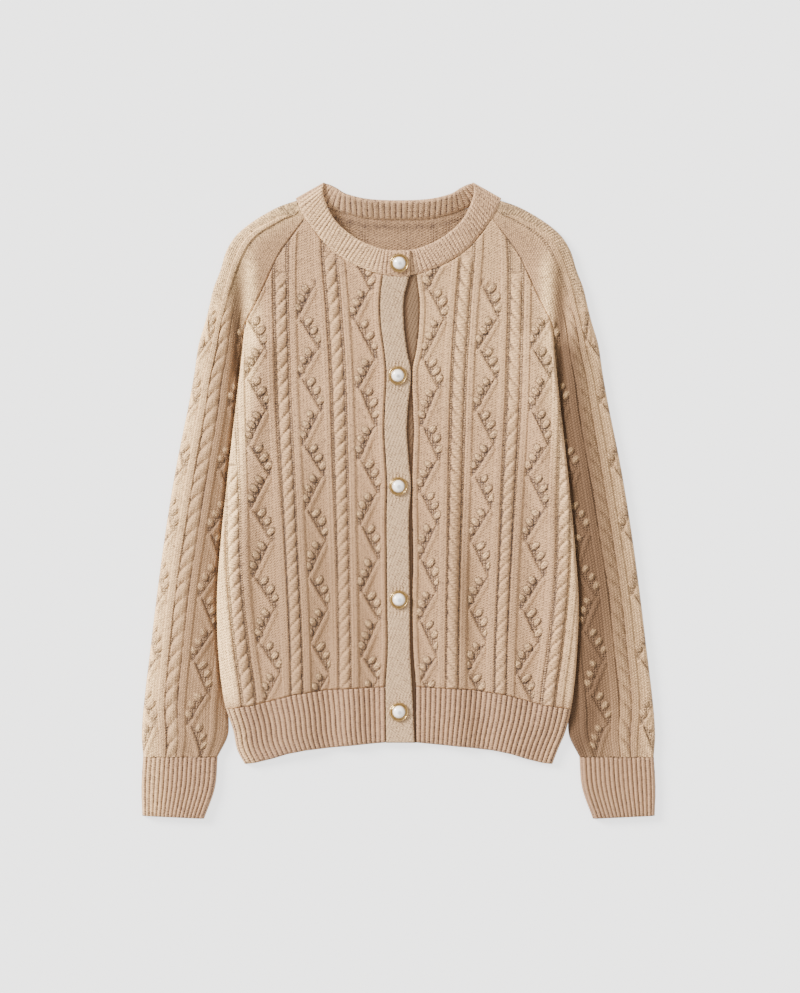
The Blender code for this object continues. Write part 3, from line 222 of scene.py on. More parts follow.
# Middles of the buttons, from the neck down
BUTTONS = ((0.8, 261.3), (-0.8, 138), (-0.1, 16.2), (0.5, -108.4), (0.5, -231.9))


class Fold(NamedTuple):
    """A soft fold from a top point to a bottom point, with its half width and height."""

    x_top: float
    y_top: float
    x_bottom: float
    y_bottom: float
    half: float
    height: float


FOLDS = (
    Fold(-112, 130, -106, -275, 30, 3.4), Fold(-82, 80, -76, -275, 17, -2.8),
    Fold(-50, -40, -54, -275, 15, 2.8), Fold(52, 60, 66, -275, 16, 2.8),
    Fold(72, 90, 93, -275, 15, -2.8), Fold(108, 90, 121, -275, 26, 3.4),
)


class Zone(NamedTuple):
    """A zone of zigzag lines on a front, from its seam or a rope to the next rope.

    It has the heights of the turns, the middle of the swing as a share of the width, the
    swing, the distances that the line keeps from either side, the wales, and its top end.
    """

    turns: tuple[float, ...]
    middle: float
    swing: float
    feet: tuple[float, float]
    wales: float
    top: float = math.inf


ZONES = (
    Zone(TURNS_FIRST, 0.385, 8.6, (6.5, 17.0), 48.0),
    Zone(TURNS_OTHER, 0.505, 9.7, (17.0, 17.0), 55.0, 247),
    Zone(TURNS_OTHER, 0.505, 9.7, (17.0, 17.0), 55.0),
)


class Body:
    """Plan and heights that the fronts, the back, the hems and the bands share."""

    def side(self, sign: Array | float, y: Array) -> Array:
        """Half width of the body at a height, on the side of a sign."""
        return np.where(sign > 0, LEFT_SIDE(y), RIGHT_SIDE(y))

    def seam(self, sign: float, y: Array) -> Array:
        """Distance of a front's seam beside the opening from the middle."""
        return LEFT_SEAM(y) if sign > 0 else -RIGHT_SEAM(y)

    def side_lift(self, x: Array, y: Array) -> Array:
        """How far the body rises over the sleeve."""
        inside = self.side(x, y) - np.abs(x)
        return 5.7 * near(inside - 22, 26) * smooth((190 - y) / 22) * smooth((y + 275) / 50)

    def neck_lift(self, x: Array, y: Array) -> Array:
        """How far the front layer rises towards the neck opening."""
        reach = np.hypot(x / 112, (y - 331) / 84)
        return 1.5 * smooth(1.0 - (reach - 1.0) / 0.55)

    def folds(self, x: Array, y: Array) -> Array:
        """Height of the soft folds and of the air under the front.

        Args:
            x: Places across the body.
            y: Places along it.

        Returns:
            Heights to add there.
        """
        lift = np.zeros_like(x)
        for fold in FOLDS:
            share = (y - fold.y_bottom) / (fold.y_top - fold.y_bottom)
            middle = between(fold.x_bottom, fold.x_top, share)
            lift += fold.height * smooth((fold.y_top - y) / 70) * hump(x - middle, fold.half)
        inside = smooth((self.side(x, y) - np.abs(x) - 4) / 34) * smooth((np.abs(x) - 20) / 26)
        air = 1.9 * inside * smooth((y + 285) / 50) * smooth((262 - y) / 80)
        return lift * smooth((self.side(x, y) - np.abs(x)) / 12) + air

    def front_top(self, x: Array, y: Array) -> Array:
        """Plain upper surface of the front layer."""
        rise = BAND_STEP * smooth((x - (RIGHT_SEAM(y) - 14)) / 14) * (x < 0)
        return TOP + self.side_lift(x, y) + self.neck_lift(x, y) + self.folds(x, y) + rise

    def front_under(self, x: Array, y: Array) -> Array:
        """Lower surface of the front layer, which rests on the back at the side."""
        at_edge = self.side(x, y) - np.abs(x) < WALL
        return np.where(at_edge, self.side_lift(x, y) + LIP, self.front_top(x, y) - WALL)

    def back_seam(self, share: Array) -> Array:
        """Height on the plan of the back's hem seam, over shares of its half width."""
        return line(BACK_HEM_TOP, np.abs(share) * HEM_TOP_END) - BACK_SEAM_DROP


BODY = Body()


class Knit(NamedTuple):
    """Relief of the knitting, where it is purled, its painted shade in hollows, its wales, and the
    painted highlights that make it pale.
    """

    relief: Array
    purl: Array
    hollow: Array
    wale: Array
    pale: Array


class Build(Enum):
    """How the cloth of a piece closes on itself."""

    SHEET = "sheet"
    TUBE = "tube"


@dataclass(frozen=True)
class Pattern:
    """Sizes of the ropes, ridges, zigzag lines and bobbles, in millimetres."""

    ground: float = 0.5
    ridge: float = 1.9
    groove: float = 0.05
    crest: float = 1.6
    rope_height: float = 3.3
    bobble_long: float = 5.2
    bobble_short: float = 3.45
    bobble_height: float = 2.35
    bobble_lean: float = math.radians(50)
    bobble_ply: float = 2.6
    bobble_places: tuple = ((0.08, 9.2), (0.36, 9.4), (0.64, 8.0))

    def rope(self, across: Array, lobes: Array, slant: Array, half: Array,
             depth: Array) -> tuple[Array, Array, Array, Array]:
        """A rope whose strands cross it as fat lobes, with a crease between them.

        Args:
            across: Distance from the rope's middle.
            lobes: Count of lobes up to each point.
            slant: 1 or -1, the way in which the lobes lean.
            half: Half width of the rope.
            depth: How deep the creases are, from 0 to 1.

        Returns:
            Height, share of rope at the point, distance across its lobe, and crease.
        """
        aside = np.clip(across / half, -1.2, 1.2)
        phase = np.mod(lobes + slant * (0.33 * aside + 0.14 * aside**3), 1.0)
        lobe = np.sin(math.pi * phase) ** 0.8
        notch = 1.0 - 0.65 * smooth(aside + 0.3)
        edge = half * (1.0 - 0.2 * depth * notch * (1.0 - lobe))
        inside = np.clip(1.0 - (across / edge) ** 2, 0.0, 1.0)
        low = 0.78 * depth * notch * (1.0 - lobe)
        height = np.where(inside > 0, self.rope_height * inside**0.62 * (1.0 - low), -9.0)
        crease = depth * notch * hump(np.minimum(phase, 1.0 - phase), 0.085)
        return height, inside, (phase - 0.5) * 7.0, crease

    def columns(self, offset: Array, close: Array | float) -> tuple[Array, Array, Array]:
        """Relief, purl and painted shade of the groove and the ridge beside a rope.

        Args:
            offset: Distance from the rope's middle.
            close: How close the ridge lies to the rope, from 0 to 1.

        Returns:
            Relief, share of purl, and painted shade at the feet of the ridge.
        """
        inner, outer = 8.9 - 1.7 * close, 17.0 - 0.8 * close
        groove = shelf(offset, 3.6, inner + 1.2, 1.1)
        ridge = shelf(offset, inner, outer, 1.5)
        relief = self.ground * (1 - groove) * (1 - ridge) + self.groove * groove * (1 - ridge)
        # foot: painted shade along the feet of the ridge
        foot = (0.1 + 0.28 * close) * hump(offset - inner - 0.1, 0.8) + 0.22 * hump(offset - outer, 0.7)
        return relief + self.ridge * ridge, groove * (1 - ridge), foot

    def zigzag(self, across: Array, along: Array, places: Array, middle: Array,
               swing: float, seed: float, facing: Array | float) -> tuple[Array, ...]:
        """A zigzag line with three bobbles above each stretch.

        Args:
            across: Distance across the zone.
            along: Distance along it, upwards.
            places: Where the line turns, evenly counted upwards; even turns are far ones.
            middle: Distance across at which the line swings.
            swing: How far it swings to each side.
            seed: Tells zones apart, so that their bobbles differ.
            facing: 1 where the distance across grows towards +X, or -1; it puts the painted shadow on
                the lower right of bobbles.

        Returns:
            Relief of the line, relief of the bobbles, painted shade in hollows, purl, the distance
            across the bobbles' strands, and their tops with painted highlights.
        """
        counts = np.arange(-2, len(places) + 2)
        first, last = places[1] - places[0], places[-1] - places[-2]
        rows = np.concatenate(([places[0] - 2 * first, places[0] - first], places,
                               [places[-1] + last, places[-1] + 2 * last]))
        base = np.floor(np.interp(along, rows, counts))
        crest = np.zeros_like(across)
        knobs = np.full_like(across, -9.0)
        hollow, purl, strands, lit_tops = (np.zeros_like(across) for _ in range(4))
        for shift in (-1, 0, 1):
            index = np.clip(base + shift, -2, len(places))
            low = np.interp(index, counts, rows)
            rise = np.interp(index + 1, counts, rows) - low
            upper = np.where(np.mod(index, 2) == 0, 1.0, -1.0)
            start = middle + upper * swing
            run = -2.0 * upper * swing
            length = np.hypot(run, rise)
            share = ((across - start) * run + (along - low) * rise) / length**2
            above = upper * ((across - start) * rise - (along - low) * run) / length
            over = np.maximum(np.maximum(-share, share - 1.0), 0.0) * length
            edge = smooth(0.9 - above) * near(-above - 2.4, 4.6)
            crest = np.maximum(crest, self.crest * edge * near(over, 1.6))
            # painted shade in the slit along the line and round each cluster of bobbles
            slit = hump(above - 1.1, 0.85) * near(over, 1.2)
            hollow = np.maximum(hollow, slit * (0.55 + 0.35 * smooth((share - 0.25) / 0.3)))
            beside = shelf(above, 0.4, 8.5, 2.0) * shelf(share, -0.06, 0.98, 0.12)
            purl = np.maximum(purl, beside)
            cluster = hump(above - 3.0, 2.6) * hump((share - 0.07) * length, 3.0)
            hollow = np.maximum(hollow, 0.5 * cluster)
            for number, (from_top, beyond) in enumerate(self.bobble_places):
                shake = jitter(index, np.full_like(index, seed), np.full_like(index, number))
                size = 1.0 + 0.09 * jitter(index + 7, np.full_like(index, seed + number))
                centre = start + run * (1 - from_top) + upper * (beyond + 0.7 * shake)
                level = low + rise * (1 - from_top) + 0.8 * shake
                dx, dy = (across - centre) * upper, along - level
                lean = self.bobble_lean + 0.12 * shake
                up = (dx * math.cos(self.bobble_lean) + dy * np.sin(lean)) / self.bobble_long
                aside = (-dx * np.sin(lean) + dy * np.cos(lean)) / self.bobble_short
                reach = np.hypot(up, aside) / size
                dome = np.sqrt(np.clip(1.0 - reach**2, 0.0, 1.0))
                ply = aside * self.bobble_short
                knob = self.bobble_height * dome**0.8 * (0.84 + 0.16 * np.cos(ply * self.bobble_ply))
                strands = np.where((reach < 1.0) & (knob > knobs), ply, strands)
                knobs = np.maximum(knobs, np.where(reach < 1.0, knob, -9.0))
                # out grows towards the lower right, away from the light: painted highlight on each
                # bobble's upper left, painted shadow in a ring on its lower right
                out = (level - along + facing * (across - centre)) / 6.5
                top = dome * smooth(0.75 - 0.9 * out) * (0.8 + 0.2 * np.cos(ply * self.bobble_ply))
                lit_tops = np.maximum(lit_tops, np.where(reach < 1.0, top, 0.0))
                ring = hump(reach - 1.15, 0.17) * np.clip(0.5 + 0.45 * out, 0.12, 0.85)
                hollow = np.maximum(hollow, ring)
        return crest, knobs, hollow, purl, strands, lit_tops

    def combine(self, base: Array, purl: Array, hollow: Array, zig: tuple, wale: Array,
                mask: Array, allowed: Array) -> Knit:
        """Lays a zigzag with its bobbles over ridges, grooves and ropes.

        Args:
            base: Relief of the ropes, ridges and grooves.
            purl: Share of purl in them.
            hollow: Painted shade in their creases and hollows.
            zig: What zigzag returned.
            wale: Distance across the wales.
            mask: Where the line may show.
            allowed: Where the bobbles may show.

        Returns:
            The finished knitting.
        """
        crest, knobs, dips, purled, strands, lit_tops = zig
        relief = np.maximum(base, self.ground + (crest - self.ground) * mask * (crest > self.ground))
        relief = relief - 0.75 * dips * mask
        knobs = np.where(allowed > 0.5, knobs, -9.0)
        relief = np.maximum(relief, knobs)
        on_knob = knobs >= relief - 1e-9
        # ply: painted shade between the strands of a bobble
        ply = 0.34 * (1 - np.cos(strands * self.bobble_ply))
        hollow = np.where(on_knob, ply, np.maximum(hollow, dips * mask))
        purl = np.maximum(purl, purled * mask) * (1 - on_knob)
        # pale: painted highlights on the bobbles' tops
        return Knit(relief, purl, hollow, np.where(on_knob, strands, wale), lit_tops * on_knob)


PATTERN = Pattern()


class Surface(NamedTuple):
    """Where each point of a piece lies, in millimetres, its knitting there, and the painted shade and
    painted light on it.
    """

    x: Array
    y: Array
    z: Array
    wale: Array
    course: Array
    purl: Array | float
    # hollow: painted shade in hollows and creases, and dark seam lines; shade: painted shade; glow:
    # painted light
    hollow: Array
    shade: Array | float
    glow: Array | float = 0.0


class Signal:
    """A number that varies over a surface, with sums and products made as nodes."""

    def __init__(self, bench: "Bench", socket: bpy.types.NodeSocket) -> None:
        """Keeps the socket and the bench that it belongs to."""
        self.bench = bench
        self.socket = socket

    def math(self, operation: str, *others: "Signal | float") -> "Signal":
        """A Math node on this number and others."""
        return self.bench.math(operation, self, *others)

    def __add__(self, other: "Signal | float") -> "Signal":
        """Sum."""
        return self.math("ADD", other)

    __radd__ = __add__

    def __sub__(self, other: "Signal | float") -> "Signal":
        """Difference."""
        return self.math("SUBTRACT", other)

    def __rsub__(self, other: float) -> "Signal":
        """Difference from a plain number."""
        return self.bench.math("SUBTRACT", other, self)

    def __mul__(self, other: "Signal | float") -> "Signal":
        """Product."""
        return self.math("MULTIPLY", other)

    __rmul__ = __mul__

    def wave(self, pitch: float) -> "Signal":
        """A wave from 0 to 1 that repeats at each pitch."""
        return (self * (2 * math.pi / pitch)).math("COSINE") * 0.5 + 0.5


class Bench:
    """The nodes of one material."""

    def __init__(self, name: str) -> None:
        """Starts a material with a shader."""
        self.material = bpy.data.materials.new(name)
        self.material.use_nodes = True
        self.tree = self.material.node_tree
        self.shader = self.tree.nodes["Principled BSDF"]

    def node(self, kind: str, settings: dict | None = None,
             inputs: dict | None = None) -> bpy.types.Node:
        """Makes a node.

        Args:
            kind: The node's type.
            settings: What is set on the node first.
            inputs: Values or links of its sockets, by name or number.

        Returns:
            The node.
        """
        made = self.tree.nodes.new(kind)
        for key, value in (settings or {}).items():
            setattr(made, key, value)
        for key, value in (inputs or {}).items():
            self.feed(made.inputs[key], value)
        return made

    def feed(self, socket: bpy.types.NodeSocket, value: object) -> None:
        """Links a socket, or sets its plain value.

        Args:
            socket: The socket.
            value: A signal, another node's socket or a plain value.
        """
        if isinstance(value, Signal):
            value = value.socket
        if isinstance(value, bpy.types.NodeSocket):
            self.tree.links.new(value, socket)
        else:
            socket.default_value = value

    def math(self, operation: str, *values: Signal | float) -> Signal:
        """A Math node."""
        made = self.node("ShaderNodeMath", {"operation": operation}, dict(enumerate(values)))
        return Signal(self, made.outputs[0])

    def clamp(self, value: Signal) -> Signal:
        """The number kept between 0 and 1."""
        made = self.node("ShaderNodeMath", {"operation": "ADD", "use_clamp": True},
                         {0: value, 1: 0.0})
        return Signal(self, made.outputs[0])

    def mix(self, share: Signal | float, start: object, end: object) -> bpy.types.NodeSocket:
        """A colour between two colours."""
        made = self.node("ShaderNodeMix", {"data_type": "RGBA"}, {0: share, 6: start, 7: end})
        return made.outputs[2]

    def parts(self, name: str) -> list[Signal]:
        """The three numbers of an attribute of the piece.

        Args:
            name: The attribute's name.

        Returns:
            A signal for each number.
        """
        source = self.node("ShaderNodeAttribute", {"attribute_name": name})
        split = self.node("ShaderNodeSeparateXYZ", None, {0: source.outputs["Vector"]})
        return [Signal(self, output) for output in split.outputs]

    def noise(self, scale: float, detail: float = 2.0, stretch: tuple = (1, 1, 1)) -> Signal:
        """Noise on the object's own place in space.

        Args:
            scale: How fine the noise is, in waves to a metre.
            detail: How many finer layers it has.
            stretch: Factors on the three axes.

        Returns:
            The noise, about 0 to 1.
        """
        place = self.node("ShaderNodeTexCoord").outputs["Object"]
        turned = self.node("ShaderNodeMapping", None, {"Vector": place, "Scale": stretch})
        made = self.node("ShaderNodeTexNoise", None, {
            "Vector": turned.outputs[0], "Scale": scale, "Detail": detail, "Roughness": 0.6})
        return Signal(self, made.outputs["Fac"])

    def finish(self, **inputs: object) -> bpy.types.Material:
        """Feeds the shader.

        Args:
            inputs: Values or links of its sockets, named with _ for a space.

        Returns:
            The material.
        """
        for key, value in inputs.items():
            self.feed(self.shader.inputs[key.replace("_", " ")], value)
        return self.material


Colour = tuple[float, float, float, float]


class Stitch(Enum):
    """How the cloth between the raised patterns is knitted."""

    PLAIN = "plain"
    TWILL = "twill"


@dataclass(frozen=True)
class Wool:
    """Soft knitted wool whose stitches follow the piece's own wales, coloured also by painted shade and
    painted light from the piece's attributes.
    """

    name: str
    light: Colour
    deep: Colour
    stitch: Stitch = Stitch.PLAIN
    wale: float = 3.3
    course: float = 2.9
    depth: float = 0.0011
    # pale: the colour of painted light and painted highlights
    pale: Colour = (1.0, 0.645, 0.31, 1)
    # dusk: the colour of painted shade
    dusk: Colour = (0.100, 0.053, 0.026, 1)

    def material(self) -> bpy.types.Material:
        """Makes the wool's material.

        Returns:
            The material.
        """
        bench = Bench(self.name)
        # stitch holds the wale, the course and the painted shade
        wale, course, shade = bench.parts("stitch")
        # work holds the purl, the painted shade in hollows and creases with dark seam lines, and the
        # painted light
        purl, hollow, glow = bench.parts("work")
        wale = wale + (bench.noise(330.0, 2.0) - 0.5) * 1.3
        course = course + (bench.noise(290.0, 2.0, (1, 1, 1.7)) - 0.5) * 1.3
        beside = (wale * (1 / self.wale)).math("PINGPONG", 0.5)
        if self.stitch is Stitch.TWILL:
            rows = (wale * 0.7 + course).wave(2.9)
            plain = rows * 0.7 + (wale - course * 0.4).wave(3.6) * 0.3
        else:
            legs = (course + beside * 3.2 + wale * 0.35).wave(self.course)
            plain = legs * 0.6 + (beside * 2).math("POWER", 0.6) * 0.4
        beads = (wale.wave(2.9) * course.wave(2.7)).math("POWER", 0.7)
        height = plain + (beads - plain) * purl
        fibres = bench.noise(1500.0, 3.0)
        heather = bench.noise(520.0, 1.0) * 0.65 + bench.noise(240.0, 1.0) * 0.35
        cloud = bench.noise(11.0, 3.0)
        # grain: painted shade in the low parts of each stitch, and random heather tone
        grain = (0.6 - height) * 0.7 + (heather - 0.5) * 3.0
        # deep: painted shade in hollows, creases and between purl beads, dark seam lines, the stitch
        # grain and random cloudy tone
        deep = (hollow * 0.9 + purl * (0.32 - beads * 0.45) + grain * (1.0 - shade)
                + (cloud - 0.5) * 0.35)
        colour = bench.mix(bench.clamp(deep), self.light, self.deep)
        # painted shade: the colour goes towards dusk
        colour = bench.mix(bench.clamp(shade), colour, self.dusk)
        # painted light: the colour goes towards pale, less in the low parts of the stitches
        colour = bench.mix(bench.clamp(glow * (0.98 - grain)), colour, self.pale)
        bump = bench.node("ShaderNodeBump", None, {
            "Height": height * (1.0 + purl * 0.9) + fibres * 0.45,
            "Distance": self.depth, "Strength": 1.0})
        return bench.finish(
            Base_Color=colour, Roughness=0.86 + fibres * 0.1, Normal=bump.outputs[0],
            Sheen_Weight=0.06, Sheen_Roughness=0.5, Sheen_Tint=(1.0, 0.9, 0.78, 1.0),
            Specular_IOR_Level=0.2)


@dataclass(frozen=True)
class Gold:
    """A gold-coloured metal rim with fine wear."""

    name: str = "gold_rim"
    dull: Colour = (0.37, 0.24, 0.095, 1)
    bright: Colour = (0.52, 0.37, 0.17, 1)

    def material(self) -> bpy.types.Material:
        """Makes the metal's material.

        Returns:
            The material.
        """
        bench = Bench(self.name)
        wear = bench.noise(240.0, 2.0)
        colour = bench.mix(bench.clamp(wear * 1.6 - 0.4), self.dull, self.bright)
        bump = bench.node("ShaderNodeBump", None, {"Height": wear, "Distance": 0.00002})
        return bench.finish(Base_Color=colour, Metallic=1.0, Roughness=0.2 + wear * 0.1,
                            Normal=bump.outputs[0])


@dataclass(frozen=True)
class Pearl:
    """A white pearl under a clear skin, with a painted warm reflection of its rim towards the edge and
    a painted dim reflection near its middle.
    """

    name: str = "pearl"
    light: Colour = (0.93, 0.88, 0.82, 1)
    # edge: colour of the painted warm reflection of the rim; dim: colour of the painted dim reflection
    edge: Colour = (0.72, 0.56, 0.42, 1)
    dim: Colour = (0.33, 0.31, 0.29, 1)

    def material(self) -> bpy.types.Material:
        """Makes the pearl's material.

        Returns:
            The material.
        """
        bench = Bench(self.name)
        cloud = bench.noise(260.0, 3.0)
        east, north, _ = bench.parts("turned")
        # painted warm reflection of the rim, growing towards the pearl's edge
        far = bench.clamp((east * east + north * north) * 1.25 - 0.3 + (cloud - 0.5) * 0.5)
        colour = bench.mix(far, self.light, self.edge)
        # painted dim reflection: a grey spot a little right of and below the middle
        east, north = east - 0.12, north + 0.1
        dim = bench.clamp(1.1 - (east * east + north * north) * 6.0)
        colour = bench.mix(dim * (0.85 + (cloud - 0.5)), colour, self.dim)
        return bench.finish(Base_Color=colour, Roughness=0.22 + cloud * 0.1, Coat_Weight=1.0,
                            Coat_Roughness=0.03, Specular_IOR_Level=0.7)


@dataclass(frozen=True)
class Matt:
    """A plain matt surface to lie on, lit from below like a light table."""

    name: str
    colour: Colour
    shine: float

    def material(self) -> bpy.types.Material:
        """Makes the surface's material.

        Returns:
            The material.
        """
        bench = Bench(self.name)
        grain = bench.noise(40.0, 2.0)
        return bench.finish(Base_Color=self.colour, Roughness=0.9 + grain * 0.05,
                            Emission_Color=(1.0, 1.0, 1.0, 1.0), Emission_Strength=self.shine)


KNIT = Wool("knit_wool", (0.43, 0.249, 0.127, 1), (0.087, 0.053, 0.038, 1))
RIB = Wool("rib_wool", (0.44, 0.254, 0.139, 1), (0.085, 0.047, 0.036, 1), wale=5.2, course=2.6)
BAND = Wool("band_wool", (0.49, 0.322, 0.184, 1), (0.13, 0.067, 0.036, 1), Stitch.TWILL)


def new_mesh(name: str, shape: bmesh.types.BMesh) -> bpy.types.Mesh:
    """Writes a shape into a new mesh, and frees the shape.

    Args:
        name: The mesh's name.
        shape: The shape.

    Returns:
        The mesh.
    """
    mesh = bpy.data.meshes.new(name)
    shape.to_mesh(mesh)
    shape.free()
    return mesh


def new_object(name: str, data: bpy.types.ID) -> bpy.types.Object:
    """Puts a mesh, a lamp or a camera into the scene.

    Args:
        name: The object's name.
        data: What it holds.

    Returns:
        The object.
    """
    made = bpy.data.objects.new(name, data)
    bpy.context.scene.collection.objects.link(made)
    return made


def read_points(mesh: bpy.types.Mesh) -> Array:
    """Reads the places of a mesh's vertices.

    Args:
        mesh: The mesh.

    Returns:
        A row of three numbers for each vertex.
    """
    flat = np.empty(len(mesh.vertices) * 3)
    mesh.vertices.foreach_get("co", flat)
    return flat.reshape(-1, 3)


def dress(mesh: bpy.types.Mesh, **attributes: Array) -> None:
    """Shades a mesh smoothly and gives it attributes.

    Args:
        mesh: The mesh.
        attributes: Three numbers for each vertex, by the attribute's name.
    """
    mesh.polygons.foreach_set("use_smooth", np.ones(len(mesh.polygons), bool))
    for name, values in attributes.items():
        layer = mesh.attributes.new(name, "FLOAT_VECTOR", "POINT")
        layer.data.foreach_set("vector", values.astype(np.float32).ravel())


@dataclass
class Cloth:
    """A closed piece of knitting, with a fine outer face and a plainer inner one."""

    name: str
    slot: str
    finish: Wool
    flat: tuple[float, float]
    area: float
    rests_on: tuple[str, ...]
    columns: int
    rows: int
    hidden_rows: int
    build: Build = Build.SHEET

    def shell(self) -> bmesh.types.BMesh:
        """Makes two grids that meet at their rims, on a unit square or a unit tube.

        Returns:
            The closed shell.
        """
        shell = bmesh.new()
        for level, rows in ((1, self.rows), (0, self.hidden_rows)):
            bmesh.ops.create_grid(shell, x_segments=self.columns, y_segments=rows, size=0.5,
                                  matrix=Matrix.Translation((0.5, 0.5, level)))
        if self.build is Build.TUBE:
            for vert in shell.verts:
                turn, radius = 2 * math.pi * vert.co.x, 1 + vert.co.z
                vert.co = (radius * math.cos(turn), radius * math.sin(turn), vert.co.y)
            bmesh.ops.remove_doubles(shell, verts=shell.verts, dist=1e-5)
            for end in (0, 1):
                rim = [e for e in shell.edges if e.is_boundary and abs(e.verts[0].co.z - end) < 0.1]
                bmesh.ops.bridge_loops(shell, edges=rim)
        else:
            cuts = self.rows // self.hidden_rows - 1
            sides = [e for e in shell.edges if e.is_boundary and e.verts[0].co.z < 0.5
                     and abs(e.verts[0].co.x - e.verts[1].co.x) < 1e-6]
            if cuts:
                bmesh.ops.subdivide_edges(shell, edges=sides, cuts=cuts)
            bmesh.ops.bridge_loops(shell, edges=[e for e in shell.edges if e.is_boundary])
        bmesh.ops.recalc_face_normals(shell, faces=shell.faces)
        return shell

    def surface(self, across: Array, along: Array, outer: Array) -> Surface:
        """Where the points of the shell lie.

        Args:
            across: Share across the piece, from 0 to 1.
            along: Share along it, from 0 to 1.
            outer: Which points are on the outer face.

        Returns:
            Places and knitting of the points.
        """
        raise NotImplementedError

    def make(self) -> bpy.types.Object:
        """Builds the piece, dresses it and says what it stands for.

        Returns:
            The piece.
        """
        mesh = new_mesh(self.name, self.shell())
        u, v, level = read_points(mesh).T
        if self.build is Build.TUBE:
            turn = np.mod(np.arctan2(v, u) / (2 * math.pi), 1.0)
            u, v, level = turn, level, np.hypot(u, v) - 1
        place = self.surface(u, v, level > 0.5)
        points = np.stack((place.x, place.y, place.z), axis=1) * MM
        mesh.vertices.foreach_set("co", points.ravel())
        # hollow, shade and glow carry painted shade and painted light into the material
        parts = (place.wale, place.course, place.shade, place.purl, place.hollow, place.glow)
        values = np.stack([np.broadcast_to(part, u.shape) for part in parts], axis=1)
        dress(mesh, stitch=values[:, :3], work=values[:, 3:])
        mesh.update()
        mesh.calc_loop_triangles()
        corners = np.empty(len(mesh.loop_triangles) * 3, int)
        mesh.loop_triangles.foreach_get("vertices", corners)
        a, b, c = points[corners.reshape(-1, 3)].transpose(1, 0, 2)
        if np.einsum("ij,ij->i", a, np.cross(b, c)).sum() < 0:
            mesh.flip_normals()
        piece = finish_piece(self.name, mesh, self.finish.material())
        LOG.info("%s: %d triangles", self.name, len(mesh.loop_triangles))
        return piece


def finish_piece(name: str, mesh: bpy.types.Mesh, material: bpy.types.Material) -> bpy.types.Object:
    """Links a piece and ties it to the frame.

    Args:
        name: The node that it stands for.
        mesh: Its mesh, in the row's frame.
        material: Its material.

    Returns:
        The piece.
    """
    mesh.materials.append(material)
    piece = new_object(name + "_shown", mesh)
    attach(piece, "root")
    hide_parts(name)
    return piece


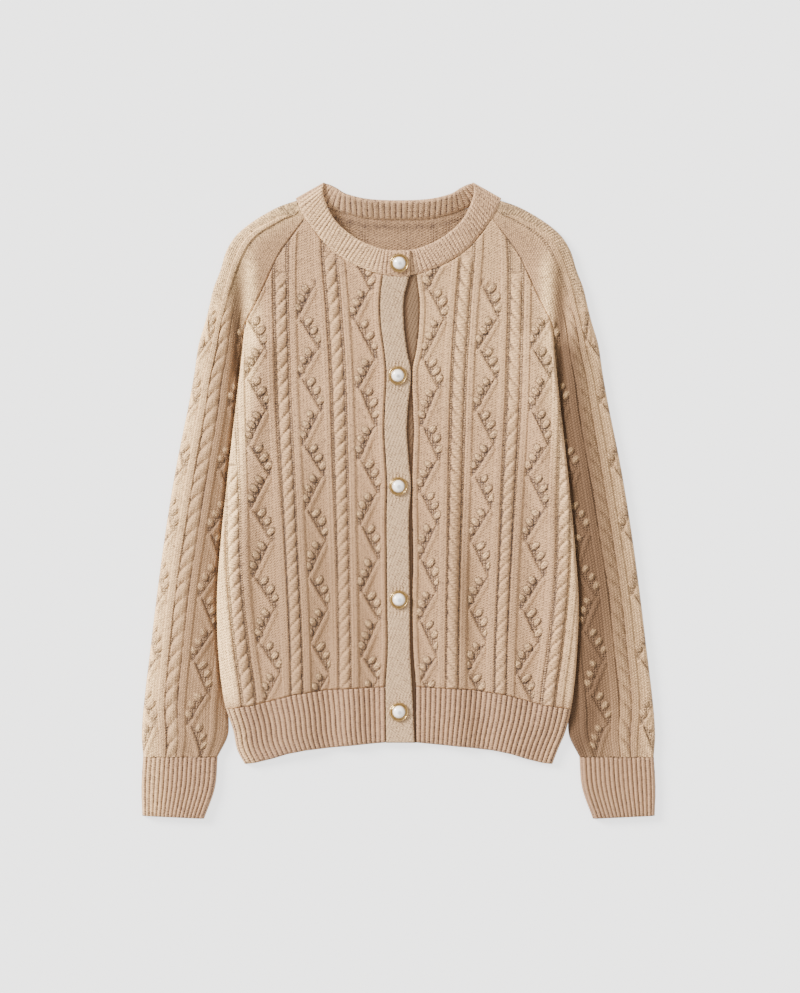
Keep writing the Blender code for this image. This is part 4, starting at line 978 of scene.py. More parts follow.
@dataclass
class Front(Cloth):
    """A front panel with ropes, ridges, zigzag lines and bobbles."""

    sign: float = 1.0

    def top_edge(self, x: Array) -> Array:
        """Height of the neck and raglan edge over a half width."""
        return line(FRONT_NECK + RAGLAN[1:], x)

    def knitting(self, half: Array, y: Array) -> Knit:
        """The pattern of the panel.

        Args:
            half: Distances from the middle of the body.
            y: Heights on the plan.

        Returns:
            The knitting there.
        """
        seam = BODY.seam(self.sign, y)
        ropes = [ROPE_1(y), ROPE_2(y), ROPE_3(y)]
        close = smooth((70 - y) / 150) * smooth(((ropes[1] + ropes[2]) / 2 - half) / 8)
        base, purl, foot = PATTERN.columns(np.minimum.reduce([np.abs(half - r) for r in ropes]), close)
        hem_ridge = shelf(half - seam, 0.6, 6.4, 1.5)
        base = np.maximum(base, PATTERN.ridge * hem_ridge)
        hollow = foot
        wale = (half - ropes[2]) + 158.0
        begin = 0.0
        found = Knit(base, purl, hollow, wale, np.zeros_like(half))
        for number, (zone, start, end) in enumerate(zip(ZONES, [seam] + ropes[:2], ropes)):
            width, inside = end - start, (half >= start) & (half < end)
            across = half - start
            zig = PATTERN.zigzag(across, y, np.array(zone.turns, float), zone.middle * width,
                                 zone.swing, number + 3 * self.sign, self.sign)
            first, last = zone.feet
            mask = smooth((across - first + 0.8) / 1.6)
            mask = mask * smooth((width - across - last + 0.8) / 1.6) * smooth((zone.top - y) / 8)
            allowed = (across > first - 2.4) & (width - across > last - 3.4) & (mask > 0.02)
            allowed = (allowed & (y < zone.top - 6)).astype(float)
            local = begin + across / width * zone.wales
            made = PATTERN.combine(base, purl, hollow, zig, local, mask, allowed)
            found = Knit(*(np.where(inside, new, old) for new, old in zip(made, found)))
            begin += zone.wales
        relief, purl, hollow, wale, pale = found
        for number, rope in enumerate(ropes):
            lobes = y / 16.7 + 0.3 * np.sin(y / 61 + number) + 0.21 * number
            slant = np.ones_like(y)
            if self.sign > 0 and number > 0:
                slant = np.where(y > LEAN_CHANGE_Y, 1.0, -1.0)
            across = half - rope
            grown = smooth((ROPE_TOPS[number] - y) / 16)
            height, inside, strand, crease = PATTERN.rope(
                across, lobes, slant, 6.3 - 0.1 * close, (1.0 - 0.35 * close) * grown)
            height = np.where(height > -5, height * grown + (1 - grown) * PATTERN.ground, height)
            on_rope = (inside > 0) & (height > relief)
            relief = np.where(on_rope, height, relief)
            wale = np.where(on_rope, strand + 40.0, wale)
            purl = np.where(on_rope, 0.0, purl)
            # painted shade beside each rope and in its creases
            beside = (0.14 + 0.4 * close) * grown * near(inside, 0.4)
            beside = beside * near(np.abs(across) - 6.0, 2.4)
            dark = np.maximum(np.maximum(beside, 0.32 * crease), foot)
            hollow = np.where(np.abs(across) < 8, dark, hollow)
            # painted highlight on the rope's top
            pale = np.where(on_rope, 0.22 * grown * inside * (1 - 0.5 * close), pale)
        return Knit(relief, purl, hollow, wale, pale)

    def surface(self, across: Array, along: Array, outer: Array) -> Surface:
        """Where the points of the front lie.

        Args:
            across: Share across the front.
            along: Share along it.
            outer: Which points are on the outer face.

        Returns:
            Places and knitting of the points.
        """
        share = across if self.sign > 0 else 1.0 - across
        inner = BODY.seam(self.sign, between(SEAM_LOW_Y, SEAM_TOP_Y, along)) + GAP
        side = BODY.side(self.sign, between(SIDE_LOW_Y, ARMPIT_Y, along)) - GAP
        half = between(inner, side, share)
        at_top = between(SEAM_TOP_X, ARMPIT_X, share)
        low = line(HEM_TOP, between(HEM_START, HEM_TOP_END, share)) + GAP
        high = self.top_edge(at_top) - GAP
        high = high + NECK_CORNER_RISE * hump(at_top - NECK_CORNER_X, 4.5)
        x, y = self.sign * half, between(low, high, along)
        knit = self.knitting(half, y)
        slope = np.hypot(1.0, np.interp(at_top, (90, 110, 170), (0.9, 1.6, 1.9)))
        from_top = (high - y) / slope
        from_side = BODY.side(x, y) - half
        from_seam = half - BODY.seam(self.sign, y)
        edge = np.minimum(from_top, from_seam)
        drop = 0.3 * near(edge - 0.1, 1.2) + ROLL * rolled(from_side)
        fade = smooth((np.minimum(edge, y - low) - 0.2) / 1.4) * smooth((from_side - 0.5) / 3.0)
        upper = BODY.front_top(x, y) + knit.relief * fade - drop
        on_raglan = smooth((half - 98) / 8)
        seam_line = (0.05 + 0.6 * on_raglan) * near(from_top, 1.3)
        seam_line = np.maximum(seam_line, 0.7 * near(from_seam, 1.3))
        # painted light along the body's side edge, stronger on the right front
        lit = 1.05 if self.sign < 0 else 0.3
        glow = lit * hump(from_side - 7, 9.5) * smooth((y + 235) / 30) * smooth((232 - y) / 40)
        glow = np.maximum(glow, 0.5 * knit.pale)
        # painted shade, darker towards the bottom in a band away from the side edge, and the painted
        # shade of a soft fold 74 mm from the middle
        shade = 0.3 * smooth((90 - y) / 150) * near(70 - from_side, 60)
        fold = hump(half - 74, 15) * shelf(y, -180, -36, 45)
        if self.sign > 0:
            # painted light over the upper left front
            glow = glow + 0.12 * smooth((y - 60) / 120)
            shade = 0.4 * shade + 0.3 * fold
        else:
            shade = shade + 0.14 * fold
        z = np.where(outer, upper, BODY.front_under(x, y))
        return Surface(x, y, z, knit.wale, y, knit.purl, np.maximum(knit.hollow, seam_line),
                       shade, glow * (1 - knit.hollow))


@dataclass
class Back(Cloth):
    """The back panel, plain inside and flat where it rests."""

    def surface(self, across: Array, along: Array, outer: Array) -> Surface:
        """Where the points of the back lie.

        Args:
            across: Share across the back.
            along: Share along it.
            outer: Which points are on the outer face.

        Returns:
            Places and knitting of the points.
        """
        share = 2 * across - 1
        x = share * (BODY.side(share, between(SIDE_LOW_Y, ARMPIT_Y, along)) - GAP)
        high = line(BACK_NECK + RAGLAN[-1:], np.abs(share) * ARMPIT_X) - GAP
        y = between(BODY.back_seam(share), high, along)
        edge = high - y
        z = BODY.side_lift(x, y) + np.where(outer, WALL + 0.9 * hump(edge - 3.4, 2.2), 0.0)
        stripes = hump(np.abs(x) - 38, 3) + hump(np.abs(x) - 54, 3)
        # painted shade inside the back: hollow is darker below the roll at the neck seam and a little
        # on the purl stripes, and shade grows towards the neck
        hollow = 0.34 + 0.5 * hump(edge - 7.5, 2.2) + 0.12 * stripes * (edge > 8)
        shade = 0.26 + 0.1 * smooth((y - 280) / 30)
        return Surface(x, y, z, x, y, 0.5 * stripes * (edge > 8), hollow, shade)


@dataclass
class FrontHem(Cloth):
    """The ribbed strip below a front."""

    sign: float = 1.0
    ribs: float = 30.5

    def surface(self, across: Array, along: Array, outer: Array) -> Surface:
        """Where the points of the strip lie.

        Args:
            across: Share across the strip.
            along: Share along it.
            outer: Which points are on the outer face.

        Returns:
            Places and knitting of the points.
        """
        share = across if self.sign > 0 else 1.0 - across
        down = 1.0 - along
        start, end = (BODY.seam(self.sign, np.array(at)) for at in (SEAM_LOW_Y, HEM_CORNER_Y))
        inner = start * (1 - down) + end * down + GAP
        side = BODY.side(self.sign, SIDE_LOW_Y - down * HEM_SIDE_DEPTH) - GAP
        half = between(inner, side, share)
        top_y = line(HEM_TOP, between(HEM_START, HEM_TOP_END, share))
        low_y = line(HEM_BOTTOM, between(HEM_START, HEM_BOTTOM_END, share))
        y = top_y * (1 - down) + low_y * down - GAP * (1 - down)
        x = self.sign * half
        phase = share * self.ribs
        rib = ribbing(phase)
        from_side = BODY.side(x, y) - half
        ends = np.minimum(y - low_y, top_y - y + 1.6)
        drop = ROLL * rolled(from_side) + 1.1 * near(y - low_y, 2.5)
        fade = smooth((from_side - 0.5) / 3.0) * smooth((ends + 0.8) / 2.4)
        upper = BODY.front_top(x, y) + 2.0 * rib**0.6 * fade - drop
        z = np.where(outer, upper, BODY.front_under(x, y))
        # painted shade between the ribs and over the whole strip
        hollow = rib_hollows(rib, 1.25, 0.56, 0.22)
        # painted light along the side edge, stronger on the right front's strip
        lit = 0.35 if self.sign < 0 else 0.1
        glow = lit * hump(from_side - 6, 8) * (1 - hollow)
        return Surface(x, y, z, phase * RIB_WALE, y, 0.0, hollow, 0.19, glow)


@dataclass
class BackHem(Cloth):
    """The ribbed strip below the back, flat where it rests."""

    ribs: float = 62.0

    def surface(self, across: Array, along: Array, outer: Array) -> Surface:
        """Where the points of the strip lie.

        Args:
            across: Share across the strip.
            along: Share along it.
            outer: Which points are on the outer face.

        Returns:
            Places and knitting of the points.
        """
        share = 2 * across - 1
        x = share * (BODY.side(share, SIDE_LOW_Y - (1 - along) * HEM_SIDE_DEPTH) - GAP)
        low = line(BACK_HEM_BOTTOM, np.abs(share) * HEM_BOTTOM_END)
        y = between(low, BODY.back_seam(share) - 2 * GAP, along)
        z = BODY.side_lift(x, y) + np.where(outer, WALL, 0.0)
        rib = ribbing(share * self.ribs / 2)
        # painted shade between the ribs and a little over the whole strip
        return Surface(x, y, z, share * 160, y, 0.0, 0.5 * near(rib, 0.5), 0.05)


# Fold point, inner point, rope, spread and outer ridge of a sleeve, from neck to cuff
SLEEVE_ROWS = (
    (112.2, 331.1, 102.9, 310.9, .62, .45, .8), (131.5, 324.5, 111.7, 299, .56, .55, .43),
    (150.2, 314.6, 121.6, 286, .50, .65, .32), (166.7, 303.6, 128.5, 277, .46, .72, .27),
    (180, 291.5, 133.7, 268.4, .45, .78, .264), (190, 275, 140, 254, .45, .78, .264),
    (196.5, 254.1, 147, 239, .44, .78, .251), (204, 234.3, 154, 225, .46, .80, .288),
    (208.8, 214, 161.7, 210, .48, .84, .315), (212.8, 198, 169.2, 192.5, .51, .90, .33),
    (220.5, 171.6, 168.6, 166.1, .50, .94, .323), (225.5, 138.6, 163, 133.1, .40, .96, .226),
    (231.5, 105.6, 159, 100.1, .37, .98, .2), (244.8, 39.6, 160, 34.1, .34, 1, .19),
    (255.8, -26.4, 165, -31.9, .32, 1, .18), (265, -92.4, 174, -97.9, .31, 1, .17),
    (273, -158.4, 180, -163.9, .31, 1, .173), (280.8, -224.4, 187, -227.7, .33, .98, .197),
    (283, -257.4, 187.5, -257.4, .36, .92, .237), (281.5, -281.6, 199, -281.6, .38, .80, .256),
)

# Inner edge of a sleeve's under face in the first of these rows, below the raglan seam
HIDDEN_SEAM = (99.6, 104, 111, 117.6, 122.5, 131, 140, 149, 158, 169.6)


@dataclass
class Tube(Cloth):
    """A flattened tube: its upper face, round its inner edge, and its under face."""

    sign: float = 1.0
    upper_columns: int = 100
    build: Build = Build.TUBE

    def around(self, turn: Array) -> tuple[Array, Array]:
        """Where points round the tube lie on its flattened width.

        Args:
            turn: Share of the way round.

        Returns:
            Share across the tube, and which points are on its upper face.
        """
        top_share = self.upper_columns / self.columns
        upper = turn <= top_share + 1e-6
        back = (turn - top_share) / (1 - top_share)
        under = 1 - (1 - np.cos(math.pi * np.clip(back, 0, 1))) / 2
        return np.where(upper, turn / top_share, under), upper

    def inset(self, share: Array, depth: Array) -> Array:
        """Shares across the tube, drawn in from both of its edges by a share."""
        return depth + (1 - 2 * depth) * share


@dataclass
class Sleeve(Tube):
    """A sleeve with a rope, ridges and two zigzag lines along it."""

    ridge_reach: float = 12.9

    def knitting(self, across: Array, outside: Array, begun: Array, along: Array,
                 total: float) -> tuple[Knit, Array, Array]:
        """The pattern of the sleeve.

        Args:
            across: Distance from the rope's middle, on the scale of the ridges.
            outside: Which points lie between the rope and the sleeve's outer edge.
            begun: How far the pattern has begun below the shoulder, from 0 to 1.
            along: Share along the sleeve, up from the cuff.
            total: Length of the sleeve.

        Returns:
            The knitting, the purled shoulder and the rope's tops, which take a painted highlight.
        """
        span, side = np.abs(across), np.where(outside, -1.0, 1.0)
        shown, bare = np.where(outside, 1.0, begun), outside * (1 - begun)
        # soft scales the painted shade at the ridges' feet and beside the rope
        soft = 0.8 if self.sign < 0 else 0.5
        base, purl, foot = PATTERN.columns(span + 0.2, 1.0)
        foot = foot * np.where(outside, 0.3 + 0.7 * begun, 1.0) * soft
        base = PATTERN.ground + (base - PATTERN.ground) * shown
        base = np.maximum(base, PATTERN.ridge * shelf(across, 43.5, 52.0, 1.9) * begun)
        shoulder = bare * smooth((span - 15) / 3)
        purl = np.maximum(purl * shown, shoulder)
        purl = np.maximum(purl, 0.8 * bare * shelf(span, 1.5, 6.8, 1.2))
        zig = PATTERN.zigzag(span, along * total, np.arange(19) * total / 18,
                             np.full_like(span, 29.8), 9.2, 11 + self.sign + side, -self.sign * side)
        mask = shelf(span, 15.6, 44.4, 1.6) * begun
        allowed = ((span > 14.4) & (span < 45.6) & (begun > 0.6)).astype(float)
        knit = PATTERN.combine(base, purl, foot * shown, zig, across, mask, allowed)
        wander = 0.9 * np.sin((1 - along) * total / 17.0)
        height, inside, _, crease = PATTERN.rope(
            across + wander, along * total / 19.2, -1.0, 7.4, 1.25)
        height = np.where(height > -5, PATTERN.ground + (height - PATTERN.ground) * begun, height)
        on_rope = (inside > 0) & (height > knit.relief)
        # groove: painted shade beside the rope and in its creases
        groove = np.maximum(0.5 * soft * near(inside, 0.3), 0.36 * crease) * begun
        hollow = np.where(span < 8.2, np.maximum(groove, foot * shown), knit.hollow)
        knit = Knit(np.where(on_rope, height, knit.relief), np.where(on_rope, 0.0, knit.purl),
                    hollow, across, knit.pale * begun)
        return knit, shoulder, on_rope * inside * begun

    def surface(self, across: Array, along: Array, outer: Array) -> Surface:
        """Where the points of the sleeve lie.

        Args:
            across: Share of the way round the sleeve.
            along: Share along it.
            outer: Which points are on the outer face.

        Returns:
            Places and knitting of the points.
        """
        share, upper = self.around(across)
        rows = np.array(SLEEVE_ROWS)
        middle = (rows[:, 0:2] + rows[:, 2:4]) / 2
        steps = np.hypot(*(middle[1:] - middle[:-1]).T)
        place = np.concatenate(([0], np.cumsum(steps)))
        total = place[-1]
        station = (1 - along) * total
        fx, fy, ix, iy, rope, spread, ridge = (Curve(place, column)(station) for column in rows.T)
        hidden_x = np.interp(station, place[:len(HIDDEN_SEAM)], HIDDEN_SEAM)
        inner_x = np.where(upper | (station > place[len(HIDDEN_SEAM) - 1]), ix, hidden_x)
        width = np.hypot(fx - inner_x, fy - iy)
        shifted = self.inset(share, np.where(outer, GAP, WALL) / width)
        bulge = 1.3 * 4 * share * (1 - share) * near(station, 24)
        half = between(fx, inner_x, shifted) + bulge
        y = between(fy, iy, shifted) - bulge * 0.3
        x = self.sign * half
        from_fold, from_inner = share * width, (1 - share) * width
        begun = smooth((station - place[7] - 4) / 34)
        offset = (share - rope) * width
        outside = offset < 0
        scale = np.where(outside, (rope - ridge) * width, self.ridge_reach * spread)
        knit, shoulder, lit_tops = self.knitting(self.ridge_reach * offset / scale, outside, begun,
                                             along, total)
        beside = half - BODY.side(x, y)
        low = smooth((ARMPIT_Y + 2 - y) / 12)
        seen = 1 - low * near(beside - 1.0, 3.0)
        raglan = near(from_inner - 0.2, 1.3) * (1 - low)
        drop = ROLL * rolled(from_fold)
        drop = np.maximum(drop, ROLL * low * rolled(from_inner)) + 0.5 * raglan
        dip = 1.5 * near(beside, 18) * smooth((188 - y) / 40)
        crown = 3.6 * np.clip(np.sin(math.pi * np.clip(share, 0, 1) ** 0.62), 0, 1) * seen
        crown = crown * smooth(station / 60) * smooth((total - station + 14) / 40)
        valley = shelf(y, 110, 284, 36)
        crown = crown + valley * (1.5 * hump(half - 159, 9) - 2.4 * hump(half - 177, 8))
        plain = TOP + BODY.neck_lift(x, y) - dip + crown
        fade = smooth((from_fold - 0.8) / 3.5) * seen * (1 - raglan) * smooth((station - 1) / 4)
        top = plain + knit.relief * fade - drop
        floor = FLOOR_ROLL * rolled(np.minimum(from_fold, from_inner))
        shell = np.where(upper, top, floor)
        cavity = np.where(upper, np.maximum(plain - crown * 0.6 - WALL - 0.6, WALL + 0.4), WALL)
        # painted shade near the body: on the right sleeve growing as it slopes down under the body, on
        # the left sleeve the body's painted shadow
        below = smooth((ARMPIT_Y + 30 - y) / 70)
        if self.sign < 0:
            open_width = np.maximum(fx - BODY.side(x, y), 40)
            fall = np.clip((beside - 4) / (open_width * 0.8), 0, 1)
            strip = below * 0.55 * (1 - fall) ** 1.1
        else:
            reach = np.interp(y, (-230, -70, 155, 190), (72, 64, 42, 30))
            strip = (1 - np.clip((beside - 13) / reach, 0, 1)) ** 1.1 + 0.2
            strip = strip * below
        # painted shade in the sleeve's crease beside the body and a little along the raglan seam
        shade = np.maximum(strip, 1.05 * valley * hump(half - 177.5, 8.5)) + 0.1 * raglan
        # painted light along the outer fold, stronger on the right sleeve, on the purled shoulder, on
        # the pillow beside the crease, on the bobbles and on the rope's tops
        lit = 0.75 if self.sign < 0 else 0.3
        glow = lit * hump(from_fold - 3, 16) + 0.12 * shoulder + 0.8 * valley * hump(half - 163, 7)
        glow = np.maximum(glow, 0.5 * knit.pale * (1 - 0.3 * strip))
        glow = np.maximum(glow, 0.22 * lit_tops * (1 - np.minimum(strip, 1)))
        return Surface(x, y, np.where(outer, shell, cavity), knit.wale, station,
                       knit.purl * upper, np.maximum(knit.hollow * upper, 0.6 * raglan), shade,
                       glow * (1 - knit.hollow) * upper)


# Outer and inner point of a cuff, from its seam to its free end
CUFF_ROWS = (
    (281.5, -281.9, 199, -281.9), (283.2, -315, 202, -315.5), (282.4, -346.5, 214, -349.8),
)


@dataclass
class Cuff(Tube):
    """A ribbed cuff, open at both ends."""

    ribs: float = 16.5

    def surface(self, across: Array, along: Array, outer: Array) -> Surface:
        """Where the points of the cuff lie.

        Args:
            across: Share of the way round the cuff.
            along: Share along it.
            outer: Which points are on the outer face.

        Returns:
            Places and knitting of the points.
        """
        share, upper = self.around(across)
        down = 1 - along
        ox, oy, ix, iy = (Curve((0, 0.5, 1), column)(down) for column in zip(*CUFF_ROWS))
        width = ox - ix
        shifted = self.inset(share, np.where(outer, 0.0, WALL) / width)
        half, y = between(ox, ix, shifted), between(oy, iy, shifted)
        phase = share * self.ribs
        rib = ribbing(phase)
        edge = np.minimum(share, 1 - share) * width
        end, foot = down * CUFF_LENGTH, (1 - down) * CUFF_LENGTH
        fade = smooth((edge - 0.6) / 3.0) * smooth((end + 1.6) / 2.4)
        drop = ROLL * rolled(edge) + 1.1 * near(foot, 2.5)
        crown = 1.4 * np.sin(math.pi * share)
        top = TOP + crown + 2.0 * rib**0.6 * fade - drop
        floor = FLOOR_ROLL * rolled(edge)
        z = np.where(outer, np.where(upper, top, floor), np.where(upper, TOP - WALL, WALL))
        # painted shade between the ribs
        hollow = rib_hollows(rib, 1.0, 0.52, 0.2)
        # painted light along the right cuff's outer edge; painted shade over the left cuff; both darker
        # towards the inner edge
        lit, dark = (0.3, 0.02) if self.sign < 0 else (0.02, 0.26)
        glow = lit * hump(share * width - 10, 16) * (1 - hollow)
        return Surface(self.sign * half, y, z, phase * RIB_WALE, y, 0.0, hollow * upper,
                       dark + 0.12 * share, glow * upper)


# Seam point, free point and face of the neckband, from the opening round to the back
NECK_ROWS = (
    (20, 249.3, 6.9, 15.5, 276.8, 8, 1), (41.3, 256.5, 7, 27, 280, 9, 1),
    (60.6, 266.2, 7.1, 45.3, 288.2, 10.4, 1), (78, 279.4, 7.1, 64.9, 303.3, 11.2, 1),
    (92.9, 297, 7.1, 75.8, 318.5, 11.4, 1), (102.9, 310.9, 7.1, 82.3, 335.5, 11.4, 1),
    (109.2, 321.6, 7.1, 82.9, 341.6, 11.2, 1), (111, 328.5, 6.6, 82.8, 346.4, 10.6, 0),
    (112.6, 332.4, 4.2, 81.9, 349.3, 9, 0), (110, 331.4, 1.8, 80, 348.9, 7.4, 0),
    (99.6, 328.6, 1.2, 76.5, 348.4, 7, -1), (80.9, 324.2, 1.2, 68.8, 344.4, 9.5, -1),
    (57.8, 316.5, 1.2, 57.8, 337.4, 12.6, -1), (32.9, 311.1, 1.2, 34, 331.6, 13.4, -1),
    (0, 310, 1.2, 0, 330, 13.6, -1),
)


@dataclass
class Neckband(Cloth):
    """The ribbed band round the neck, its right end lapped over its left end."""

    front_pitch: float = 4.2
    back_pitch: float = 6.2

    def rows_of_band(self) -> Array:
        """Works out the rows of the whole band, from its upper end round the neck.

        Returns:
            Seam point, free point and face of each row.
        """
        ends = [(x, 246.8, 6.9, x, 275.6, 8.0, 1) for x in (-13, 0, -11)]
        right = ends[:2] + list(NECK_ROWS)
        left = list(reversed(NECK_ROWS[:-1])) + ends[2:]
        rows = []
        for sx, sy, sz, bx, by, bz, face in right:
            rise = BAND_STEP * (1 - float(smooth(np.array((sx - 24) / 34)))) if face > 0 else 0
            rows.append((-sx, sy, sz + rise, -bx, by, bz + rise, face))
        return np.array(rows + left, float)

    def surface(self, across: Array, along: Array, outer: Array) -> Surface:
        """Where the points of the band lie.

        Args:
            across: Share of the way round the neck, from the band's upper end.
            along: Share of the way from its seam to its free edge.
            outer: Which points are on the outer face.

        Returns:
            Places and knitting of the points.
        """
        rows = self.rows_of_band()
        middle = (rows[:, 0:3] + rows[:, 3:6]) / 2
        place = np.concatenate(([0], np.cumsum(np.linalg.norm(middle[1:] - middle[:-1], axis=1))))
        station = across * place[-1]
        table = [Curve(place, column) for column in rows.T]
        seam = np.stack([table[k](station) for k in range(3)], axis=1)
        free = np.stack([table[k](station) for k in range(3, 6)], axis=1)
        face = np.interp(station, place, rows[:, 6])
        ahead, behind = np.minimum(station + 2, place[-1]), np.maximum(station - 2, 0)
        run = np.stack([table[k](ahead) - table[k](behind)
                        + table[k + 3](ahead) - table[k + 3](behind) for k in range(3)], axis=1)
        normal = np.cross(free - seam, run)
        normal = normal / np.linalg.norm(normal, axis=1)[:, None]
        length = np.linalg.norm(free - seam, axis=1)
        edge_share = 0.6 * GAP / length
        share = edge_share + (1 - edge_share) * along
        point = seam + (free - seam) * share[:, None]
        density = np.where(rows[:, 6] < 0, 1 / self.back_pitch, 1 / self.front_pitch)
        counts = np.concatenate(([0], np.cumsum((density[1:] + density[:-1]) / 2 * np.diff(place))))
        phase = np.interp(station, place, counts)
        rib = ribbing(phase)
        from_seam, from_free = along * length, (1 - along) * length
        ends = np.minimum(from_seam, from_free)
        fade = smooth((from_seam - 0.8) / 2.6) * smooth((from_free - 0.2) / 2.2)
        relief = (0.25 + 1.1 * rib**0.6) * fade - 0.6 * near(from_free, 1.6)
        roll = 0.7 * np.sin(math.pi * along)
        raised = np.where(outer, WALL / 2 + (relief + roll) * np.clip(face, 0, 1),
                          -WALL / 2 - (relief + roll * 0.4) * np.clip(-face, 0, 1))
        point = point + normal * raised[:, None]
        seen = np.where(outer, face > 0, face < 0)
        strong = np.where(face < 0, 1.0, 0.9)
        # painted shade between the ribs and at the band's edges, half as strong on faces that do not
        # show
        hollow = strong * near(rib, 0.62) * fade + 0.2 * near(ends, 1.0)
        # painted light over the band, more towards its right front end
        glow = (0.12 + 0.25 * smooth((-point[:, 0] - 10) / 30) * (face > 0)) * (1 - hollow)
        stitched = 0.8 * near(from_seam - 0.4, 1.6) * (face > 0)
        # slit: painted shade of the buttonhole slit
        slit = shelf(point[:, 0], -19.6, -9.8, 1.0) * hump(point[:, 1] - 262.7, 0.6) * (face > 0)
        slit = slit * (station < 60)
        hollow = np.maximum(hollow * (1 - 0.4 * slit), slit)
        # a little painted shade, more on the back face
        return Surface(point[:, 0], point[:, 1], point[:, 2], phase * 4.6, station * 0.5 + along * 26,
                       stitched, hollow * np.where(seen, 1.0, 0.5), 0.02 + 0.02 * (face < 0), glow)


@dataclass
class Band(Cloth):
    """A firm band beside the opening; the upper one carries the buttons."""

    upper: bool = True

    def surface(self, across: Array, along: Array, outer: Array) -> Surface:
        """Where the points of the band lie.

        Args:
            across: Share across the band.
            along: Share along it.
            outer: Which points are on the outer face.

        Returns:
            Places and knitting of the points.
        """
        y = between(BAND_LOW_Y, BAND_TOP_Y, along)
        if self.upper:
            start, end, rise = RIGHT_SEAM(y) + GAP, FREE_EDGE(y), BAND_STEP
        else:
            start, end, rise = np.full_like(y, -9.0), LEFT_SEAM(y) - GAP, 0.0
        x = between(start, end, across)
        curve = np.interp(-x if self.upper else x, (0, 10, 20), (0, 0.6, 2.4))
        y = y + curve * smooth((y - 180) / 67)
        level = TOP + BODY.neck_lift(x, y) + rise
        edge = np.minimum.reduce([x - start, end - x, y - BAND_LOW_Y])
        relief = 0.5 * smooth(edge / 2.2) - 0.7 * near(edge, 1.1)
        if self.upper:
            for bx, by in BUTTONS:
                gathers = hump(x - bx, 9.0) * hump(np.abs(y - by) - 12.5, 6.5)
                relief = relief + 0.55 * gathers * np.cos((x - bx) * 2 * math.pi / 3.6)
                relief = relief - 0.5 * hump(np.hypot(x - bx, y - by) - 6, 6.0)
        z = level + np.where(outer, relief, -WALL)
        # painted shade along the band's edges
        hollow = 0.6 * near(edge, 1.0)
        # covered: painted shadow of the upper band over the under band, darkest at its free edge
        covered = 0.85 + 0.35 * near(x - FREE_EDGE(y), 6.5)
        return Surface(x, y, z, x, y, 0.0, hollow, 0.0 if self.upper else covered)


# Distances from the axis and heights of the rim: its outer bead, a groove and its inner bead
RIM_PROFILE = (
    (7.05, 0), (8.6, 0), (9.7, 0.05), (10.2, 0.5), (10.4, 1.2), (10.3, 2.0), (9.95, 2.6),
    (9.5, 2.8), (9.05, 2.5), (8.75, 1.8), (8.55, 1.2), (8.35, 1.8), (8.0, 2.3),
    (7.6, 2.4), (7.2, 2.1), (7.0, 1.0),
)


@dataclass
class Button:
    """A pearl dome in a gold-coloured rim."""

    number: int
    x: float
    y: float
    segments: int = 64

    def seat(self) -> float:
        """Height that the rim sits at.

        Returns:
            The height.
        """
        if self.number == 1:
            return NECK_BUTTON_SEAT
        return float(TOP + BODY.neck_lift(np.array(self.x), np.array(self.y)) + BAND_STEP + 0.3)

    def turned(self, name: str, profile: Sequence[tuple[float, float]]) -> bpy.types.Mesh:
        """Turns a profile round the button's axis.

        Args:
            name: The mesh's name.
            profile: Distances from the axis and heights.

        Returns:
            The mesh, in its place.
        """
        mesh = bmesh.new()
        verts = [mesh.verts.new((r, 0, h)) for r, h in profile]
        edges = [mesh.edges.new(pair) for pair in zip(verts, verts[1:])]
        if profile[0][0] > 0:
            edges.append(mesh.edges.new((verts[-1], verts[0])))
        bmesh.ops.spin(mesh, geom=verts + edges, cent=(0, 0, 0), axis=(0, 0, 1),
                       angle=2 * math.pi, steps=self.segments, use_merge=True)
        bmesh.ops.remove_doubles(mesh, verts=mesh.verts, dist=1e-4)
        bmesh.ops.recalc_face_normals(mesh, faces=mesh.faces)
        bmesh.ops.translate(mesh, vec=(self.x, self.y, self.seat()), verts=mesh.verts)
        bmesh.ops.scale(mesh, vec=(MM, MM, MM), verts=mesh.verts)
        data = new_mesh(name, mesh)
        # turned places each point round the button's axis, for the pearl's painted reflections
        dress(data, turned=(read_points(data) / MM - (self.x, self.y, self.seat())) / PEARL_REACH)
        return data

    def make(self, gold: bpy.types.Material, pearl: bpy.types.Material) -> None:
        """Builds the rim and the pearl.

        Args:
            gold: The rim's material.
            pearl: The pearl's material.
        """
        dome = [(0.0, 0.0), (6.6, 0.0), (6.85, 1.0)]
        for step in range(1, 13):
            turn = math.pi / 2 * step / 12
            dome.append((6.9 * math.cos(turn), 1.6 + 4.2 * math.sin(turn)))
        dome[-1] = (0.0, 5.8)
        for kind, profile, material in (("rim", RIM_PROFILE, gold), ("pearl", dome, pearl)):
            node = f"button_{kind}_{self.number}"
            finish_piece(node, self.turned(node, profile), material)
            LOG.info("%s: turned in %d steps", node, self.segments)


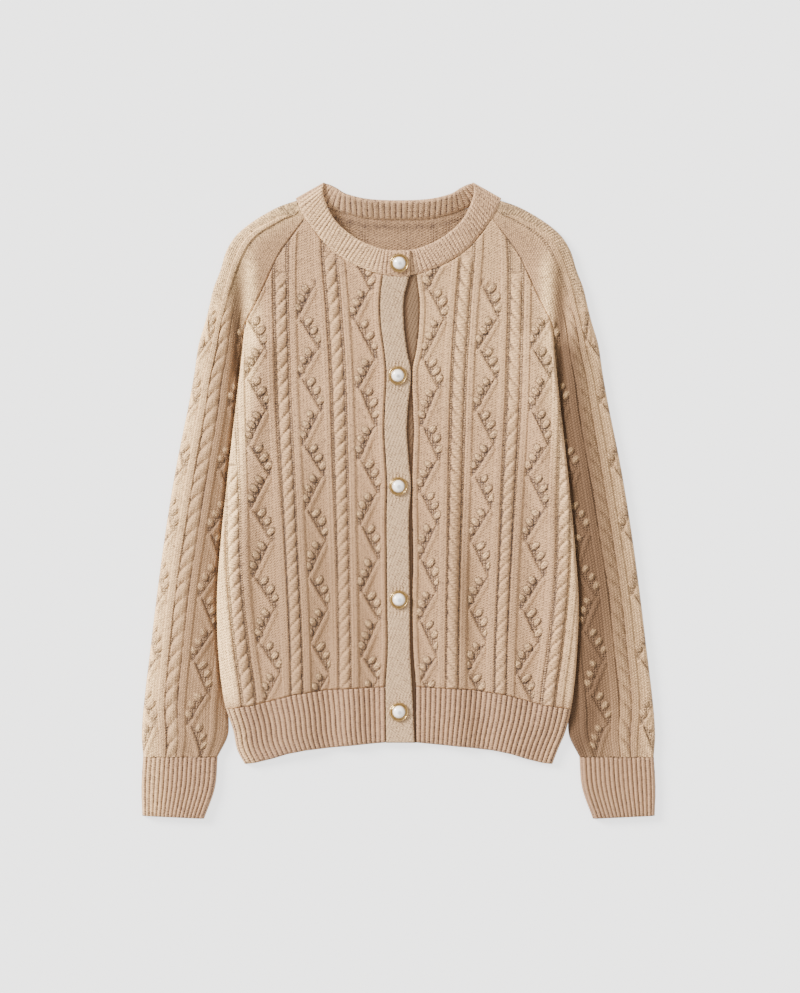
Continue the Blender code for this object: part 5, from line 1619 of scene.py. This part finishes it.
@dataclass
class Studio:
    """A pale floor, soft light from the upper left, and a camera straight above."""

    centre: tuple[float, float] = (0.00165, 0.00495)
    distance: float = 4.0
    view_height: float = 1.0923
    cloth_level: float = 0.008

    def floor(self) -> None:
        """A wide floor under the garment."""
        mesh = bmesh.new()
        bmesh.ops.create_grid(mesh, x_segments=8, y_segments=8, size=20.0,
                              matrix=Matrix.Translation((0, 0, -0.0003)))
        data = new_mesh("floor", mesh)
        data.materials.append(Matt("pale_floor", (0.38, 0.38, 0.38, 1), 1.85).material())
        new_object("floor", data)

    def lights(self) -> None:
        """A soft key light and a pale surrounding."""
        for name, strength, spread, aim, colour in (
            ("key", 12.5, 22, (1.0, -0.62, -0.62), (1.0, 0.985, 0.96)),
            ("fill", 1.0, 60, (-0.7, 0.3, -1.0), (0.97, 0.98, 1.0)),
        ):
            lamp = bpy.data.lights.new(name, "SUN")
            lamp.energy = strength
            lamp.angle = math.radians(spread)
            lamp.color = colour
            new_object(name, lamp).rotation_euler = Vector(aim).to_track_quat("-Z", "Y").to_euler()
        world = bpy.data.worlds.new("studio")
        world.use_nodes = True
        sky = world.node_tree.nodes["Background"].inputs
        sky["Color"].default_value = (1.0, 0.985, 0.965, 1)
        sky["Strength"].default_value = 1.25
        bpy.context.scene.world = world

    def camera(self) -> None:
        """A camera that looks straight down."""
        data = bpy.data.cameras.new("camera")
        data.lens = data.sensor_width * self.distance / self.view_height
        camera = new_object("camera", data)
        camera.location = (*self.centre, self.cloth_level + self.distance)
        bpy.context.scene.camera = camera


def pieces() -> list[Cloth]:
    """Lists every piece of cloth, from the lowest layer to the highest.

    Returns:
        The pieces, not built yet.
    """
    made: list[Cloth] = [
        Back("back_panel", "knit", KNIT, (0.39, 0.54), 0.179, ("floor",), 120, 120, 30),
        BackHem("hem_rib_back", "rib", RIB, (0.38, 0.075), 0.0222, ("floor",), 240, 16, 4),
    ]
    for side, sign in (("right", -1.0), ("left", 1.0)):
        made += [
            Sleeve("sleeve_" + side, "knit", KNIT, (0.19, 0.69), 0.118, ("floor",), 116, 600, 20,
                   sign=sign, upper_columns=100),
            Cuff("cuff_" + side, "rib", RIB, (0.165, 0.068), 0.0103, ("floor",), 128, 24, 4,
                 sign=sign, upper_columns=112),
            Front("front_" + side, "knit", KNIT, (0.185, 0.515), 0.0845,
                  ("back_panel", "sleeve_" + side), 176, 464, 29, sign=sign),
            FrontHem("hem_rib_" + side, "rib", RIB, (0.172, 0.07), 0.0105, ("hem_rib_back",),
                     232, 32, 8, sign=sign),
        ]
    made += [
        Band("button_band", "band", BAND, (0.028, 0.515), 0.0131, ("back_panel",), 26, 300, 20,
             upper=False),
        Band("buttonhole_band", "band", BAND, (0.031, 0.515), 0.0137, ("button_band",), 30, 440, 20),
        Neckband("neckband", "rib", RIB, (0.47, 0.03), 0.0125, ("front_right", "front_left"),
                 752, 32, 16),
    ]
    return made


def main() -> None:
    """Builds the garment, its buttons and the studio round it."""
    logging.basicConfig(level=logging.INFO, format="%(name)s: %(message)s")
    studio = Studio()
    studio.camera()
    studio.lights()
    studio.floor()
    for piece in pieces():
        piece.make()
    gold, pearl = Gold().material(), Pearl().material()
    for number, (x, y) in enumerate(BUTTONS, 1):
        Button(number, x, y).make(gold, pearl)


if __name__ == "__main__":
    main()
